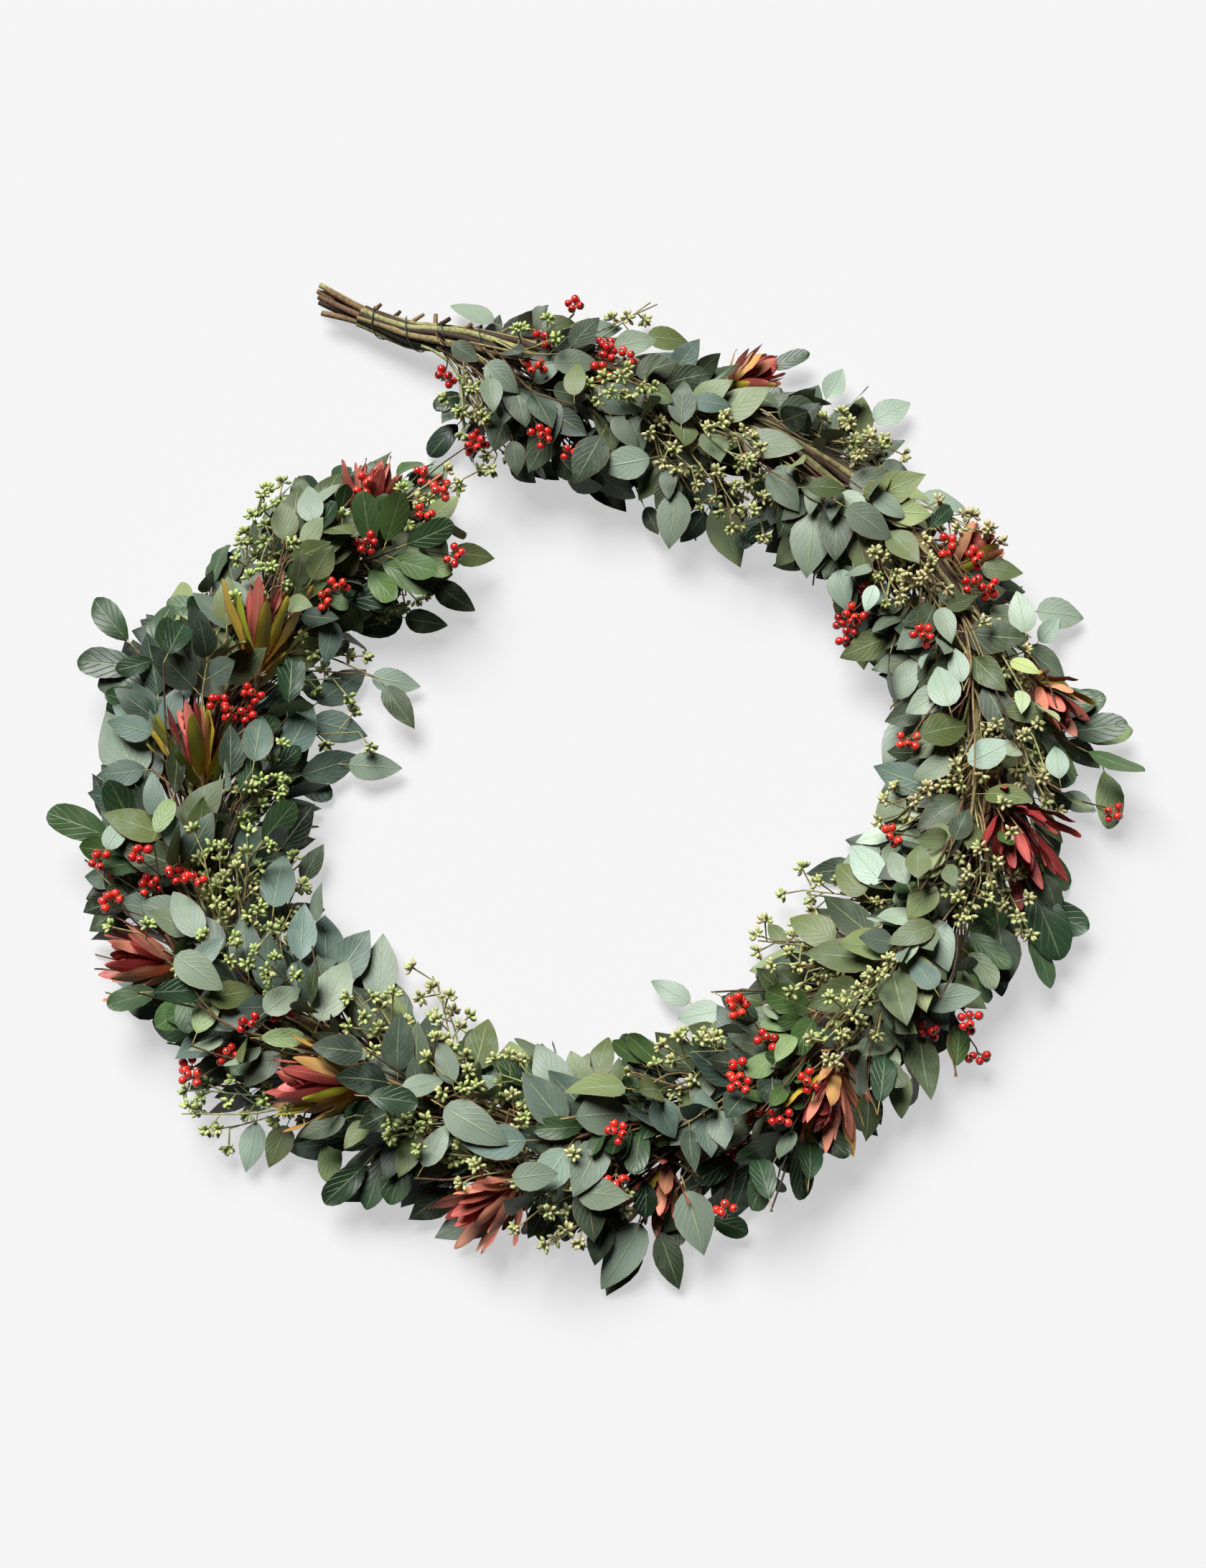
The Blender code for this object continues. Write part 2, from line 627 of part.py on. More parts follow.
def binding_wire(garland):
    """One wire, wound close round the bare stems and in long turns along the rest."""
    line, points, s, turn = garland.bundle, [], 8 * MM, 0.0
    across = line.along(s).orthogonal().normalized()
    close, long, change = WIRE_TURNS
    while s < line.length - 60 * MM:
        middle, ahead = garland.in_bundle(s), line.along(s)
        across = (across - ahead * across.dot(ahead)).normalized()
        reach = (middle.w + 2 * WIRE) / math.cos(math.pi / BUNDLE_SIDES)
        points.append(middle.to_3d() + Matrix.Rotation(turn, 3, ahead) @ across * reach)
        turn += math.tau / BUNDLE_SIDES
        s += (close if s < change else long) / BUNDLE_SIDES
    wire = tube(points, [WIRE] * len(points), 3)
    garland.put("binding_wire", wire, wire)


def bloom(garland, node, row):
    """A conebush bloom on its stem, with its bracts tried one by one."""
    px, py, degrees, height, size = row
    rng, space = garland.rng, garland.space
    axis = heading(degrees, rise=0.42)
    for rise in range(8):
        head = Bloom(seen_at(px, py, (height - 14 + 3 * rise) * MM), axis, size * MM)
        if space.free(node, head.shape(CLEARANCE)):
            break
    if garland.stem(node, head.base, axis, "bloom", wander=0) is None:
        return
    garland.put(node, head, head.shape())
    for whorl, count, lean, long in WHORLS:
        for k in rng.sample(range(Bloom.SIDES), count):
            aside = head.aside(k + 0.5)
            root = head.base + axis * (8 * whorl - 0.5) * MM + aside * 5.5 * MM
            for attempt in range(TRIES["bract"]):
                tilt = lean + rng.uniform(-0.12, 0.12) * (1 + attempt * 0.25)
                ahead = axis * math.cos(tilt) + aside * math.sin(tilt)
                face = axis * math.sin(tilt) - aside * math.cos(tilt)
                length = size * MM * long * rng.uniform(0.85, 1.0) * (1 - 0.02 * attempt) - 6 * MM
                bract = Leaf("bract", root, root, ahead, face, length, BRACT_WIDTH, BRACT_ARCH)
                head.bracts[whorl, k] = bract
                clear = space.free(node, head.shape(CLEARANCE)) and not crosses_itself(head.shape())
                if clear and not space.crowded(node, bract.shape(), True):
                    space.add(node, bract.shape(), blade=True)
                    break
                del head.bracts[whorl, k]
    space.add(node, head.shape())


def clusters(garland, node, kind, stem, count, toward, out):
    """Clusters of buds or berries: one at the end of a stem, the others to its left and right."""
    rng = garland.rng
    aside = out.cross(toward).normalized()
    for k in range(count):
        root, _, _ = stem.at((1 - 0.62 * k / count) * stem.end)
        for attempt in range(TRIES["cluster"]):
            way = aside * (-1) ** k * rng.uniform(0.7, 1.3) + out * rng.uniform(0.3, 1.0) + toward * 0.5
            way = (toward + garland.nudge(0.1 * attempt)).normalized() if k == 0 else way.normalized()
            centre = root + way * (13 if k else 4) * rng.uniform(0.8, 1.2) * MM
            cluster = Cluster(kind, root, centre, way, rng.uniform(0, math.tau), rng.choice((5, 5, 6)))
            if garland.space.free(node, cluster.shape(CLEARANCE)):
                garland.put(node, cluster, cluster.shape())
                break


def berry_bunch(garland, node, row):
    """Berries on a twig that stands out of the foliage."""
    px, py, height, count = row
    middle = seen_at(px, py, height * MM)
    out = garland.out_from(middle)
    stem = garland.stem(node, middle - out * 6 * MM, out, "berries", sides=3)
    if stem:
        clusters(garland, node, "berry", stem, count, out, garland.bundle.along(garland.bundle.nearest(middle)))


def panicle(garland, node, row):
    """A branched twig whose ends open into umbels of buds."""
    px, py, degrees, height, count = row
    middle = seen_at(px, py, height * MM)
    toward = heading(degrees, rise=0.1)
    stem = garland.stem(node, middle + toward * 16 * MM, toward, "buds", sides=3)
    if stem:
        clusters(garland, node, "bud", stem, count, toward, garland.out_from(middle))


def branch(garland, node, row):
    """A cotoneaster branch: leaves left and right along one stem."""
    px, py, degrees, height, pairs = row
    toward = heading(degrees, rise=0.05)
    stem = garland.stem(node, seen_at(px, py, height * MM), toward, "cotoneaster", pairs=pairs)
    if stem:
        garland.leaves(node, "cotoneaster", stem, pairs)


def bunch(garland, node, index):
    """A eucalyptus bunch: stems to the middle and both sides, and a short one with a leaf on the table."""
    line = garland.foliage
    s = line.length * (index + 0.62) / BUNCHES
    middle, ahead = line.at(s), line.along(s)
    outer = UP.cross(ahead).normalized()
    first, sides = None, {}
    for share, height, pairs in BUNCH_STEMS:
        aim = middle.to_3d() + outer * share * middle.w
        aim.z = height * MM
        toward = (ahead + outer * share * 1.1 - UP * abs(share) * 0.3).normalized()
        stem = garland.stem(node, aim, toward, "eucalyptus", first, pairs)
        if stem:
            first = first or stem
            sides[share > 0] = stem
            garland.leaves(node, "eucalyptus", stem, pairs)
    hand = 1 if index % 2 else -1
    if (hand > 0) in sides:
        share, height, further = RESTING_STEM
        aim = middle.to_3d() + outer * hand * share * middle.w + ahead * further
        aim.z = height
        toward = (ahead + outer * hand * 0.9).normalized()
        stem = garland.stem(node, aim, toward, "resting", sides[hand > 0])
        if stem:
            garland.leaf(node, "eucalyptus", stem, (stem.end, 0), toward, UP, flat=True)


def trailer(garland, node, row):
    """A stem that hangs down to the table, with one leaf that lies flat at its end."""
    px, py, degrees = row
    toward = heading(degrees)
    stem = garland.stem(node, seen_at(px, py, RESTING_STEM[1]), toward, "eucalyptus")
    if stem:
        garland.leaf(node, "eucalyptus", stem, (stem.end, 0), toward, UP, flat=True)


def grow_all(garland):
    """Everything on the garland, the pieces that show most first."""
    stem_bundle(garland)
    binding_wire(garland)
    kinds = (
        ("bloom", BLOOMS, bloom), ("berries", BERRIES, berry_bunch), ("buds", PANICLES, panicle),
        ("cotoneaster", BRANCHES, branch), ("eucalyptus", range(BUNCHES), bunch),
    )
    for kind, rows, grow in kinds:
        for number, row in enumerate(rows, 1):
            grow(garland, f"{kind}_{number:02d}", row)
    for number, row in enumerate(TRAILERS, BUNCHES + 1):
        trailer(garland, f"eucalyptus_{number:02d}", row)


def solids(pieces):
    """The closed shapes of a node's pieces. Leaves are part of their stem's shape."""
    found = []
    for piece in pieces:
        if isinstance(piece, Stem):
            found.append(piece.leafy() if piece.leaves else piece.shape())
        elif isinstance(piece, (Cluster, Bloom)):
            found.append(piece.shape())
        elif isinstance(piece, tuple):
            found.append(piece)
    return found


def material(kind):
    made = bpy.data.materials.get(kind)
    if made is None:
        colour, roughness = LOOKS[kind]
        made = bpy.data.materials.new(kind)
        made.use_nodes = True
        shader = made.node_tree.nodes["Principled BSDF"]
        shader.inputs["Base Color"].default_value = (*colour, 1)
        shader.inputs["Roughness"].default_value = roughness
        made.diffuse_color = (*colour, 1)
    return made


def mesh_object(name, shape, middle):
    mesh = bpy.data.meshes.new(name)
    mesh.from_pydata([v - middle for v in shape[0]], [], shape[1])
    return bpy.data.objects.new(name, mesh)


def fused(name, shapes, middle):
    """One body: a Boolean union joins the shapes of a node."""
    holder = bpy.data.collections.new(name + "_repeats")
    bpy.context.scene.collection.children.link(holder)
    for k, shape in enumerate(shapes[1:]):
        holder.objects.link(mesh_object(f"{name}_{k}", shape, middle))
    body = mesh_object(name, shapes[0], middle)
    bpy.context.scene.collection.objects.link(body)
    if len(shapes) > 1:
        union = body.modifiers.new("Union", "BOOLEAN")
        union.operation, union.operand_type, union.solver = "UNION", "COLLECTION", "MANIFOLD"
        union.collection = holder
        graph = bpy.context.evaluated_depsgraph_get()
        joined = bpy.data.meshes.new_from_object(body.evaluated_get(graph))
        body.modifiers.clear()
        body.data = joined
    for obj in list(holder.objects):
        bpy.data.objects.remove(obj)
    bpy.data.collections.remove(holder)
    body.data.shade_smooth()
    body.data.set_sharp_from_angle(angle=SMOOTH_BELOW)
    kind = name if name in LOOKS else name.rsplit("_", 1)[0]
    body.data.materials.clear()
    body.data.materials.append(material(kind))
    return body


def main():
    for obj in list(bpy.data.objects):
        bpy.data.objects.remove(obj)
    garland = Garland()
    grow_all(garland)
    shapes = {node: solids(pieces) for node, pieces in garland.pieces.items()}
    corners = [v for found in shapes.values() for verts, _ in found for v in verts]
    low = [min(v[k] for v in corners) for k in range(3)]
    high = [max(v[k] for v in corners) for k in range(3)]
    middle = Vector(((low[0] + high[0]) / 2, (low[1] + high[1]) / 2, low[2]))
    for node, found in shapes.items():
        fused(node, found, middle)


main()
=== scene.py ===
# %% [markdown]
# # A winter garland
# The real thing is a rope of cut stems, bound with thin wire, with bunches of greenery tied on one over the
# other. The CAD model holds its skeleton: the stem bundle, the wire and 55 bunches with a few large leaves,
# buds or berries each. This script grows that skeleton again from the same rules and the same seed, so that
# the direction, bend and size of each leaf are known. Then it puts a finer form in every place and fills the
# gaps with more greenery.

import json
import math
import random
from bisect import bisect_right

import bmesh
import bpy
import numpy as np
from mathutils import Matrix, Vector
from mathutils.bvhtree import BVHTree

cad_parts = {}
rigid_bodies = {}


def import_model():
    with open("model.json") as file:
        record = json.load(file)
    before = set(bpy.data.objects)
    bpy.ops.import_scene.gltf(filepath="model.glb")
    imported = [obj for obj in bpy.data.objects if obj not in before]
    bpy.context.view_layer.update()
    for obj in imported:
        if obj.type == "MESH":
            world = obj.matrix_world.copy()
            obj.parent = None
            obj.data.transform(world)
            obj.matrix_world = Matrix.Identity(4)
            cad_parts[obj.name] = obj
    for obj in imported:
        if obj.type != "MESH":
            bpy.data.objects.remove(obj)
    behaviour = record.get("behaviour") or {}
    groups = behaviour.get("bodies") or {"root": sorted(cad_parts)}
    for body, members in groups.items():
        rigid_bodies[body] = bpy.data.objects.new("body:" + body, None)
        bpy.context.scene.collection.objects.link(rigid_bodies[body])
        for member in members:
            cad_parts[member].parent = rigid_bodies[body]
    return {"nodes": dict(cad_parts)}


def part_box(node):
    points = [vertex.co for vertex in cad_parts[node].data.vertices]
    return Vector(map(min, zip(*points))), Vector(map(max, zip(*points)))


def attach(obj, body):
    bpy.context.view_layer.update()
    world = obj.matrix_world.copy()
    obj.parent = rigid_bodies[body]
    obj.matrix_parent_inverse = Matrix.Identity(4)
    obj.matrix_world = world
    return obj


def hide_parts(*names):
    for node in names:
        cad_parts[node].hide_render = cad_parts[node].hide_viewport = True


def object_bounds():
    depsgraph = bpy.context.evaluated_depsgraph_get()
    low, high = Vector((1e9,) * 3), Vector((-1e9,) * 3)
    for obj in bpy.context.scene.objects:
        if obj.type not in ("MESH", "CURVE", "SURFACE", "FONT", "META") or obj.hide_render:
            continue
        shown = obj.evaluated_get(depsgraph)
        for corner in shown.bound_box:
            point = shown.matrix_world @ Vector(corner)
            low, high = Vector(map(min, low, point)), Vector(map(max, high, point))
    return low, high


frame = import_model()
CAD_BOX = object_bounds()
print("CAD nodes:", len(frame["nodes"]), "box in m:", CAD_BOX)

# %% [markdown]
# ## Sizes and places
# Every place is named by the pixel of the photograph where it shows, with a height above the table. Sizes are
# the real plants'. The CAD model is built from the same values.

# %% Driving dimensions
MM = 0.001
UP = Vector((0, 0, 1))
SEED = 11

# The photograph looks down on the table from the front. A berry of 12.5 pixels is 7.5 mm across.
PIXEL = 0.6 * MM
PHOTO_MIDDLE = (840, 1092)
CAMERA_TILT = math.radians(70)
CAMERA_DISTANCE = 2.6

# What keeps two nodes apart, what keeps all but the resting leaves off the table, and the foliage's height.
CLEARANCE = 0.35 * MM
FLOOR_GAP = 1.0 * MM
MOUND = 60 * MM
MOUND_SUNK = 20 * MM

# Middle of the stem bundle from its cut end to the garland's tip: photograph pixel, height and radius in mm.
STEM_BUNDLE = (
    (505, 440, 22, 11), (560, 464, 26, 13), (620, 470, 33, 13), (700, 482, 42, 13), (828, 521, 50, 13),
    (940, 552, 54, 13), (1057, 592, 56, 13), (1140, 645, 56, 13), (1211, 694, 55, 13), (1285, 765, 54, 13),
    (1342, 860, 52, 12), (1362, 960, 50, 12), (1368, 1060, 48, 12), (1355, 1160, 45, 12),
    (1312, 1255, 42, 12), (1240, 1345, 39, 12), (1155, 1425, 37, 12), (1070, 1500, 36, 12),
    (975, 1550, 35, 12), (880, 1580, 34, 12), (780, 1582, 34, 12), (680, 1560, 34, 12), (580, 1520, 34, 12),
    (485, 1475, 34, 12), (395, 1415, 34, 12), (328, 1345, 34, 12), (285, 1255, 34, 12), (270, 1155, 34, 12),
    (282, 1060, 34, 12), (312, 965, 34, 11), (362, 872, 34, 11), (435, 798, 35, 10), (510, 755, 36, 8),
    (575, 730, 38, 5),
)
BUNDLE_STEP = 50 * MM
BUNDLE_SIDES = 8
CUT_STEMS = 7
WIRE = 0.6 * MM
WIRE_FROM = 8 * MM
WIRE_TURNS = (34 * MM, 220 * MM, 120 * MM)  # a turn's length on the bare stems, beyond, and where that begins

# Middle of the foliage along the same way: photograph pixel and half width in pixels.
FOLIAGE_LEVEL = 38
FOLIAGE = (
    (640, 540, 85), (740, 555, 100), (850, 575, 118), (950, 605, 128), (1050, 645, 125), (1150, 695, 120),
    (1235, 765, 118), (1300, 855, 118), (1345, 950, 118), (1365, 1050, 128), (1358, 1150, 130),
    (1318, 1250, 130), (1243, 1345, 128), (1155, 1430, 125), (1075, 1505, 122), (980, 1560, 122),
    (880, 1595, 128), (780, 1598, 120), (680, 1572, 112), (580, 1530, 108), (480, 1485, 112),
    (385, 1430, 122), (312, 1355, 135), (265, 1260, 150), (252, 1155, 150), (265, 1055, 150), (300, 955, 145),
    (355, 860, 130), (430, 785, 122), (515, 740, 105), (590, 715, 85),
)

# Conebush blooms: pixel of the base, heading in degrees from the photograph's right, height, length in mm.
BLOOMS = (
    (360, 925, 86, 62, 86), (278, 1082, 104, 62, 78), (240, 1342, 178, 54, 70), (500, 1512, 184, 62, 88),
    (712, 1655, 214, 44, 74), (1160, 1496, 254, 60, 78), (1402, 1130, 284, 64, 88), (512, 722, 78, 62, 62),
)
WHORLS = ((1, 3, 0.30, 0.86), (0, 6, 0.72, 1.0))  # level on the hub, bracts, lean, share of the bloom's length

# Bunches of berries: pixel of the middle, height, number of clusters.
BERRIES = (
    (800, 428, 62, 1), (845, 490, 78, 2), (650, 622, 30, 1), (1178, 868, 34, 1), (1350, 805, 76, 1),
    (1292, 1436, 44, 1), (1055, 1440, 70, 1), (1054, 1552, 64, 1), (266, 1488, 38, 1), (166, 1212, 52, 2),
    (350, 968, 74, 1), (530, 755, 76, 1),
)

# Panicles of eucalyptus buds: pixel of the middle, heading, height, number of umbels.
PANICLES = (
    (650, 575, 262, 44, 3), (1012, 650, 262, 62, 4), (1185, 628, 8, 60, 3), (1240, 806, 258, 64, 3),
    (1396, 930, 322, 64, 4), (1450, 1075, 276, 60, 3), (1112, 1335, 196, 64, 4), (1205, 1412, 256, 68, 3),
    (915, 1500, 172, 62, 3), (724, 1562, 160, 72, 4), (552, 1436, 128, 64, 3), (334, 1245, 100, 72, 3),
    (600, 680, 40, 60, 3),
)

# Cotoneaster branches: pixel of the end, heading, height, pairs of leaves.
BRANCHES = (
    (575, 745, 24, 66, 3), (190, 905, 132, 50, 3), (165, 1172, 170, 50, 3), (232, 1376, 212, 48, 3),
    (520, 1610, 232, 36, 3), (1100, 1592, 236, 48, 3), (1436, 1262, 292, 40, 3), (1500, 1040, 330, 46, 3),
)

# Eucalyptus bunches stand an equal step apart, with stems to the middle, the outer and the inner side.
BUNCHES = 13
BUNCH_STEMS = ((0.02, 66, 2), (0.55, 34, 1), (-0.55, 34, 1))  # share of the half width, height, pairs
RESTING_STEM = (0.55, 5 * MM, 20 * MM)  # share of the half width, height of its end, how far ahead it ends

# Eucalyptus stems that trail on to the table with one leaf: pixel of the stem's end, heading.
TRAILERS = ((893, 1704, 241),)

# How far back along the bundle each kind of stem is bound on, and its radius.
BINDING = {
    "bloom": (46 * MM, 2.4 * MM), "berries": (34 * MM, 1.5 * MM), "buds": (62 * MM, 1.6 * MM),
    "cotoneaster": (78 * MM, 1.9 * MM), "eucalyptus": (88 * MM, 1.9 * MM), "resting": (0, 1.5 * MM),
}
TAPER = 0.45
SQUARE = 0.8  # half the side of a leafy stem as a share of its radius
TRIES = {"stem": 40, "leaf": 22, "bract": 16, "cluster": 14, "fine leaf": 14, "top leaf": 24, "umbel": 10}

# Sizes of what grows on the stems.
SEGMENT = 2 * MM
BLADE = 0.9 * MM
STALK = 10 * MM
SPREAD = (40, 62)  # degrees between a leaf and its stem
ARCHES = (0.25, 0.45, 0.65, -0.25)
LEAF_SIZE = {"eucalyptus": (54 * MM, 30 * MM), "cotoneaster": (50 * MM, 25 * MM)}
LEAF_FORM = {  # share of the length, and half width as a share of the width
    "eucalyptus": ((0.0, 0.06), (0.30, 0.47), (0.68, 0.40), (1.0, 0.0)),
    "cotoneaster": ((0.0, 0.06), (0.38, 0.40), (0.76, 0.44), (1.0, 0.12)),
    "bract": ((0.36, 0.44), (0.70, 0.42), (1.0, 0.0)),
}
BRACT_WIDTH = 15 * MM
BRACT_ARCH = -0.35
FRUIT = {  # whether it has six sides and not three, distance and radius of its rings, and its length
    "bud": (False, ((6.0, 2.3),), 9.5), "berry": (True, ((6.4, 3.5), (9.8, 3.3)), 11.8),
}
# %% [markdown]
# ## The way the photograph looks at the table
# The camera looked down with a tilt of about twenty degrees. One function turns a pixel and a height into a
# point. The camera at the end of this script stands in the same place, so each thing shows where its pixel
# says.

# %% Pixels to points
AHEAD = Vector((0, math.cos(CAMERA_TILT), -math.sin(CAMERA_TILT)))
ABOVE = Vector((0, math.sin(CAMERA_TILT), math.cos(CAMERA_TILT)))
EYE = -AHEAD * CAMERA_DISTANCE


def seen_at(px, py, height):
    """The point at this height above the table that the photograph shows at a pixel."""
    ray = AHEAD * CAMERA_DISTANCE + ABOVE * (PHOTO_MIDDLE[1] - py) * PIXEL
    ray.x += (px - PHOTO_MIDDLE[0]) * PIXEL
    return EYE + ray * ((height - EYE.z) / ray.z)


def pixel_of(point):
    """The pixel of the photograph that shows a point."""
    depth = (point.dot(AHEAD) / CAMERA_DISTANCE + 1) * PIXEL
    return PHOTO_MIDDLE[0] + point.x / depth, PHOTO_MIDDLE[1] - point.dot(ABOVE) / depth


def to_eye(point):
    return (EYE - point).normalized()


def heading(degrees, rise=0.0):
    """The direction that the photograph shows at this angle from its right, and how much it rises."""
    turn = math.radians(degrees)
    level = Vector((math.cos(turn), math.sin(turn) / math.sin(CAMERA_TILT), 0)).normalized()
    return (level + UP * rise).normalized()

# %% [markdown]
# ## Lines to follow
# The stem bundle and the foliage each follow a given line. A Catmull-Rom line passes through all its
# points, so they can be read straight off the photograph. A fourth number on each point is the radius or the
# half width.

# %% A smooth line
class Line:
    """A smooth line through points that carry a fourth number, such as a radius or a half width."""

    STEPS = 16
    REACH = 6 * MM
    TESTED = 240

    def __init__(self, points):
        ends = [2 * points[0] - points[1], *points, 2 * points[-1] - points[-2]]
        self.points = []
        for a, b, c, d in zip(ends, ends[1:], ends[2:], ends[3:]):
            for i in range(self.STEPS):
                t = i / self.STEPS
                bend = (2 * a - 5 * b + 4 * c - d) * t * t + (3 * b - a - 3 * c + d) * t ** 3
                self.points.append(0.5 * (2 * b + (c - a) * t + bend))
        self.points.append(points[-1])
        self.far = [0.0]
        for a, b in zip(self.points, self.points[1:]):
            self.far.append(self.far[-1] + (b - a).to_3d().length)
        self.length = self.far[-1]

    def at(self, s):
        s = min(max(s, 0.0), self.length)
        i = min(bisect_right(self.far, s), len(self.far) - 1) - 1
        share = (s - self.far[i]) / (self.far[i + 1] - self.far[i])
        return self.points[i].lerp(self.points[i + 1], share)

    def along(self, s):
        return (self.at(s + self.REACH) - self.at(s - self.REACH)).to_3d().normalized()

    def nearest(self, point):
        """How far along the line comes nearest to a point."""
        places = (self.length * i / self.TESTED for i in range(self.TESTED + 1))
        return min(places, key=lambda s: (self.at(s).to_3d() - point).length)

# %% [markdown]
# ## Rough shapes
# To find out whether a leaf has room, its rough shape is tested against the others with a BVH tree. The rough
# shapes are those of the CAD solids: a leaf has four corners at each of a few stations.

# %% Rough surfaces
class Skin:
    """A closed surface, made of rows of corners with bands of triangles between them."""

    def __init__(self):
        self.verts, self.faces = [], []

    def row(self, points):
        first = len(self.verts)
        self.verts += points
        return list(range(first, len(self.verts)))

    def face(self, *corners):
        if len(set(corners)) == 3:
            self.faces.append(corners)

    def band(self, row, following, leave_out=()):
        """Two triangles for each side of the row, apart from the sides that something grows from."""
        for k, corner in enumerate(row):
            if k not in leave_out:
                after = (k + 1) % len(row)
                self.face(corner, row[after], following[after])
                self.face(corner, following[after], following[k])

    def cap(self, row):
        for k in range(1, len(row) - 1):
            self.face(row[0], row[k], row[k + 1])

    def blade(self, row, leaf, grow=0.0):
        """A leaf's blade, grown from a row of four corners."""
        for points in leaf.rows(grow):
            following = self.row(points)
            if len(following) == 2:
                following = [following[0], following[0], following[1], following[1]]
            self.band(row, following)
            row = following
        self.cap(row)

    def shape(self):
        """Corners and faces, with the faces pointing out."""
        volume = sum(self.verts[a].dot(self.verts[b].cross(self.verts[c])) for a, b, c in self.faces)
        return self.verts, [face[::-1] for face in self.faces] if volume < 0 else self.faces


def crosses_itself(shape):
    """Whether two faces of a shape meet that share no corner."""
    verts, faces = shape
    tree = BVHTree.FromPolygons(verts, faces)
    return any(a < b and not set(faces[a]) & set(faces[b]) for a, b in tree.overlap(tree))


def four(middle, side, face, wide, thick):
    """Corners of a station across a stem or a blade."""
    return [middle + side * wide * a + face * thick * b for a, b in ((-1, 1), (1, 1), (1, -1), (-1, -1))]


def tube(points, radii, sides, lobe=0.0, twist=0.0):
    """A closed tube through the points. A lobe makes it knobbly."""
    skin, before = Skin(), None
    across = (points[1] - points[0]).orthogonal().normalized()
    for i, (point, radius) in enumerate(zip(points, radii)):
        ahead = (points[min(i + 1, len(points) - 1)] - points[max(i - 1, 0)]).normalized()
        across = (across - ahead * across.dot(ahead)).normalized()
        beside = ahead.cross(across)
        corners = []
        for k in range(sides):
            turn = math.tau * k / sides + twist * i
            reach = radius * (1 - lobe * (k % 2))
            corners.append(point + (across * math.cos(turn) + beside * math.sin(turn)) * reach)
        row = skin.row(corners)
        if before:
            skin.band(before, row)
        else:
            skin.cap(row[::-1])
        before = row
    skin.cap(before)
    return skin.shape()

# %% [markdown]
# ## The plants' parts
# A leaf is a place, a direction, a face, a length, a width and a bend. A stem is a few points with radii, and
# knows which leaf grows at which joint. Buds and berries grow in clusters, and a bloom has two whorls of
# bracts round a cone.

# %% Leaves, stems, clusters and blooms
class Leaf:
    """A blade on its stalk: where the stalk roots, where the blade starts, which way it points and faces."""

    def __init__(self, kind, root, base, ahead, face, length, width, arch):
        self.kind, self.root, self.base = kind, root, base
        self.ahead = ahead.normalized()
        self.face = (face - self.ahead * face.dot(self.ahead)).normalized()
        self.side = self.ahead.cross(self.face)
        self.length, self.width, self.arch = length, width, arch

    def station(self, share):
        """Middle and face of the blade at a share of its length, bent to an arc."""
        if self.arch == 0:
            return self.base + self.ahead * self.length * share, self.face
        turn = self.arch * share
        reach = self.length / self.arch
        middle = self.base + self.ahead * math.sin(turn) * reach - self.face * (1 - math.cos(turn)) * reach
        return middle, self.face * math.cos(turn) + self.ahead * math.sin(turn)

    def rows(self, grow=0.0):
        """Four corners across the blade for each station, and two where it ends in an edge."""
        for share, wide in LEAF_FORM[self.kind]:
            middle, face = self.station(share)
            corners = four(middle, self.side, face, wide * self.width + grow, BLADE / 2 + grow)
            yield corners if wide else [middle + face * (BLADE / 2 + grow) * up for up in (1, -1)]

    def shape(self, grow=0.0, stalk=True):
        skin, start = Skin(), self.root if stalk else self.base - self.ahead * BLADE
        row = skin.row(four(start, self.side, self.face, BLADE + grow, BLADE + grow))
        skin.cap(row[::-1])
        skin.blade(row, self, grow)
        return skin.shape()


class Stem:
    """A stem. Leaves grow in pairs at its joints, and one at its end. They are kept by joint and hand."""

    def __init__(self, points, radii, sides):
        self.points, self.radii, self.sides = points, radii, sides
        self.end = len(points) - 1
        self.faces, self.leaves = {}, {}

    def at(self, place):
        """Middle, direction and radius at a place counted in points."""
        i = min(int(place), self.end - 1)
        along = (self.points[i + 1] - self.points[i]).normalized()
        radius = self.radii[i] + (self.radii[i + 1] - self.radii[i]) * (place - i)
        return self.points[i].lerp(self.points[i + 1], place - i), along, radius

    def shape(self, grow=0.0):
        return tube(self.points, [r + grow for r in self.radii], self.sides)

    def leafy(self):
        """The stem and its leaves as one skin. A leaf grows out of a short stretch of the stem's side."""
        usual = next(iter(self.faces.values()), UP)
        skin, before = Skin(), None
        for joint in range(self.end + 1):
            middle, along, radius = self.at(joint)
            leaves = {hand: self.leaves.get((joint, hand)) for hand in (-1, 0, 1)}
            face = leaves[0].face if leaves[0] else self.faces.get(joint, usual)
            side = along.cross(face).normalized()
            up = side.cross(along)
            grown = {side_of: leaves[hand] for side_of, hand in ((3, -1), (1, 1)) if leaves[hand]}
            for step in (-1, 1) if grown else (0,):
                wide = radius * SQUARE
                row = skin.row(four(middle + along * SEGMENT * step, side, up, wide, wide))
                if before is None:
                    skin.cap(row[::-1])
                elif step < 1:
                    skin.band(before, row)
                else:
                    skin.band(before, row, grown)
                    if 3 in grown:
                        skin.blade([before[0], row[0], row[3], before[3]], grown[3])
                    if 1 in grown:
                        skin.blade([row[1], before[1], before[2], row[2]], grown[1])
                before = row
        if leaves[0]:
            skin.blade(before, leaves[0])
        else:
            skin.cap(before)
        return skin.shape()


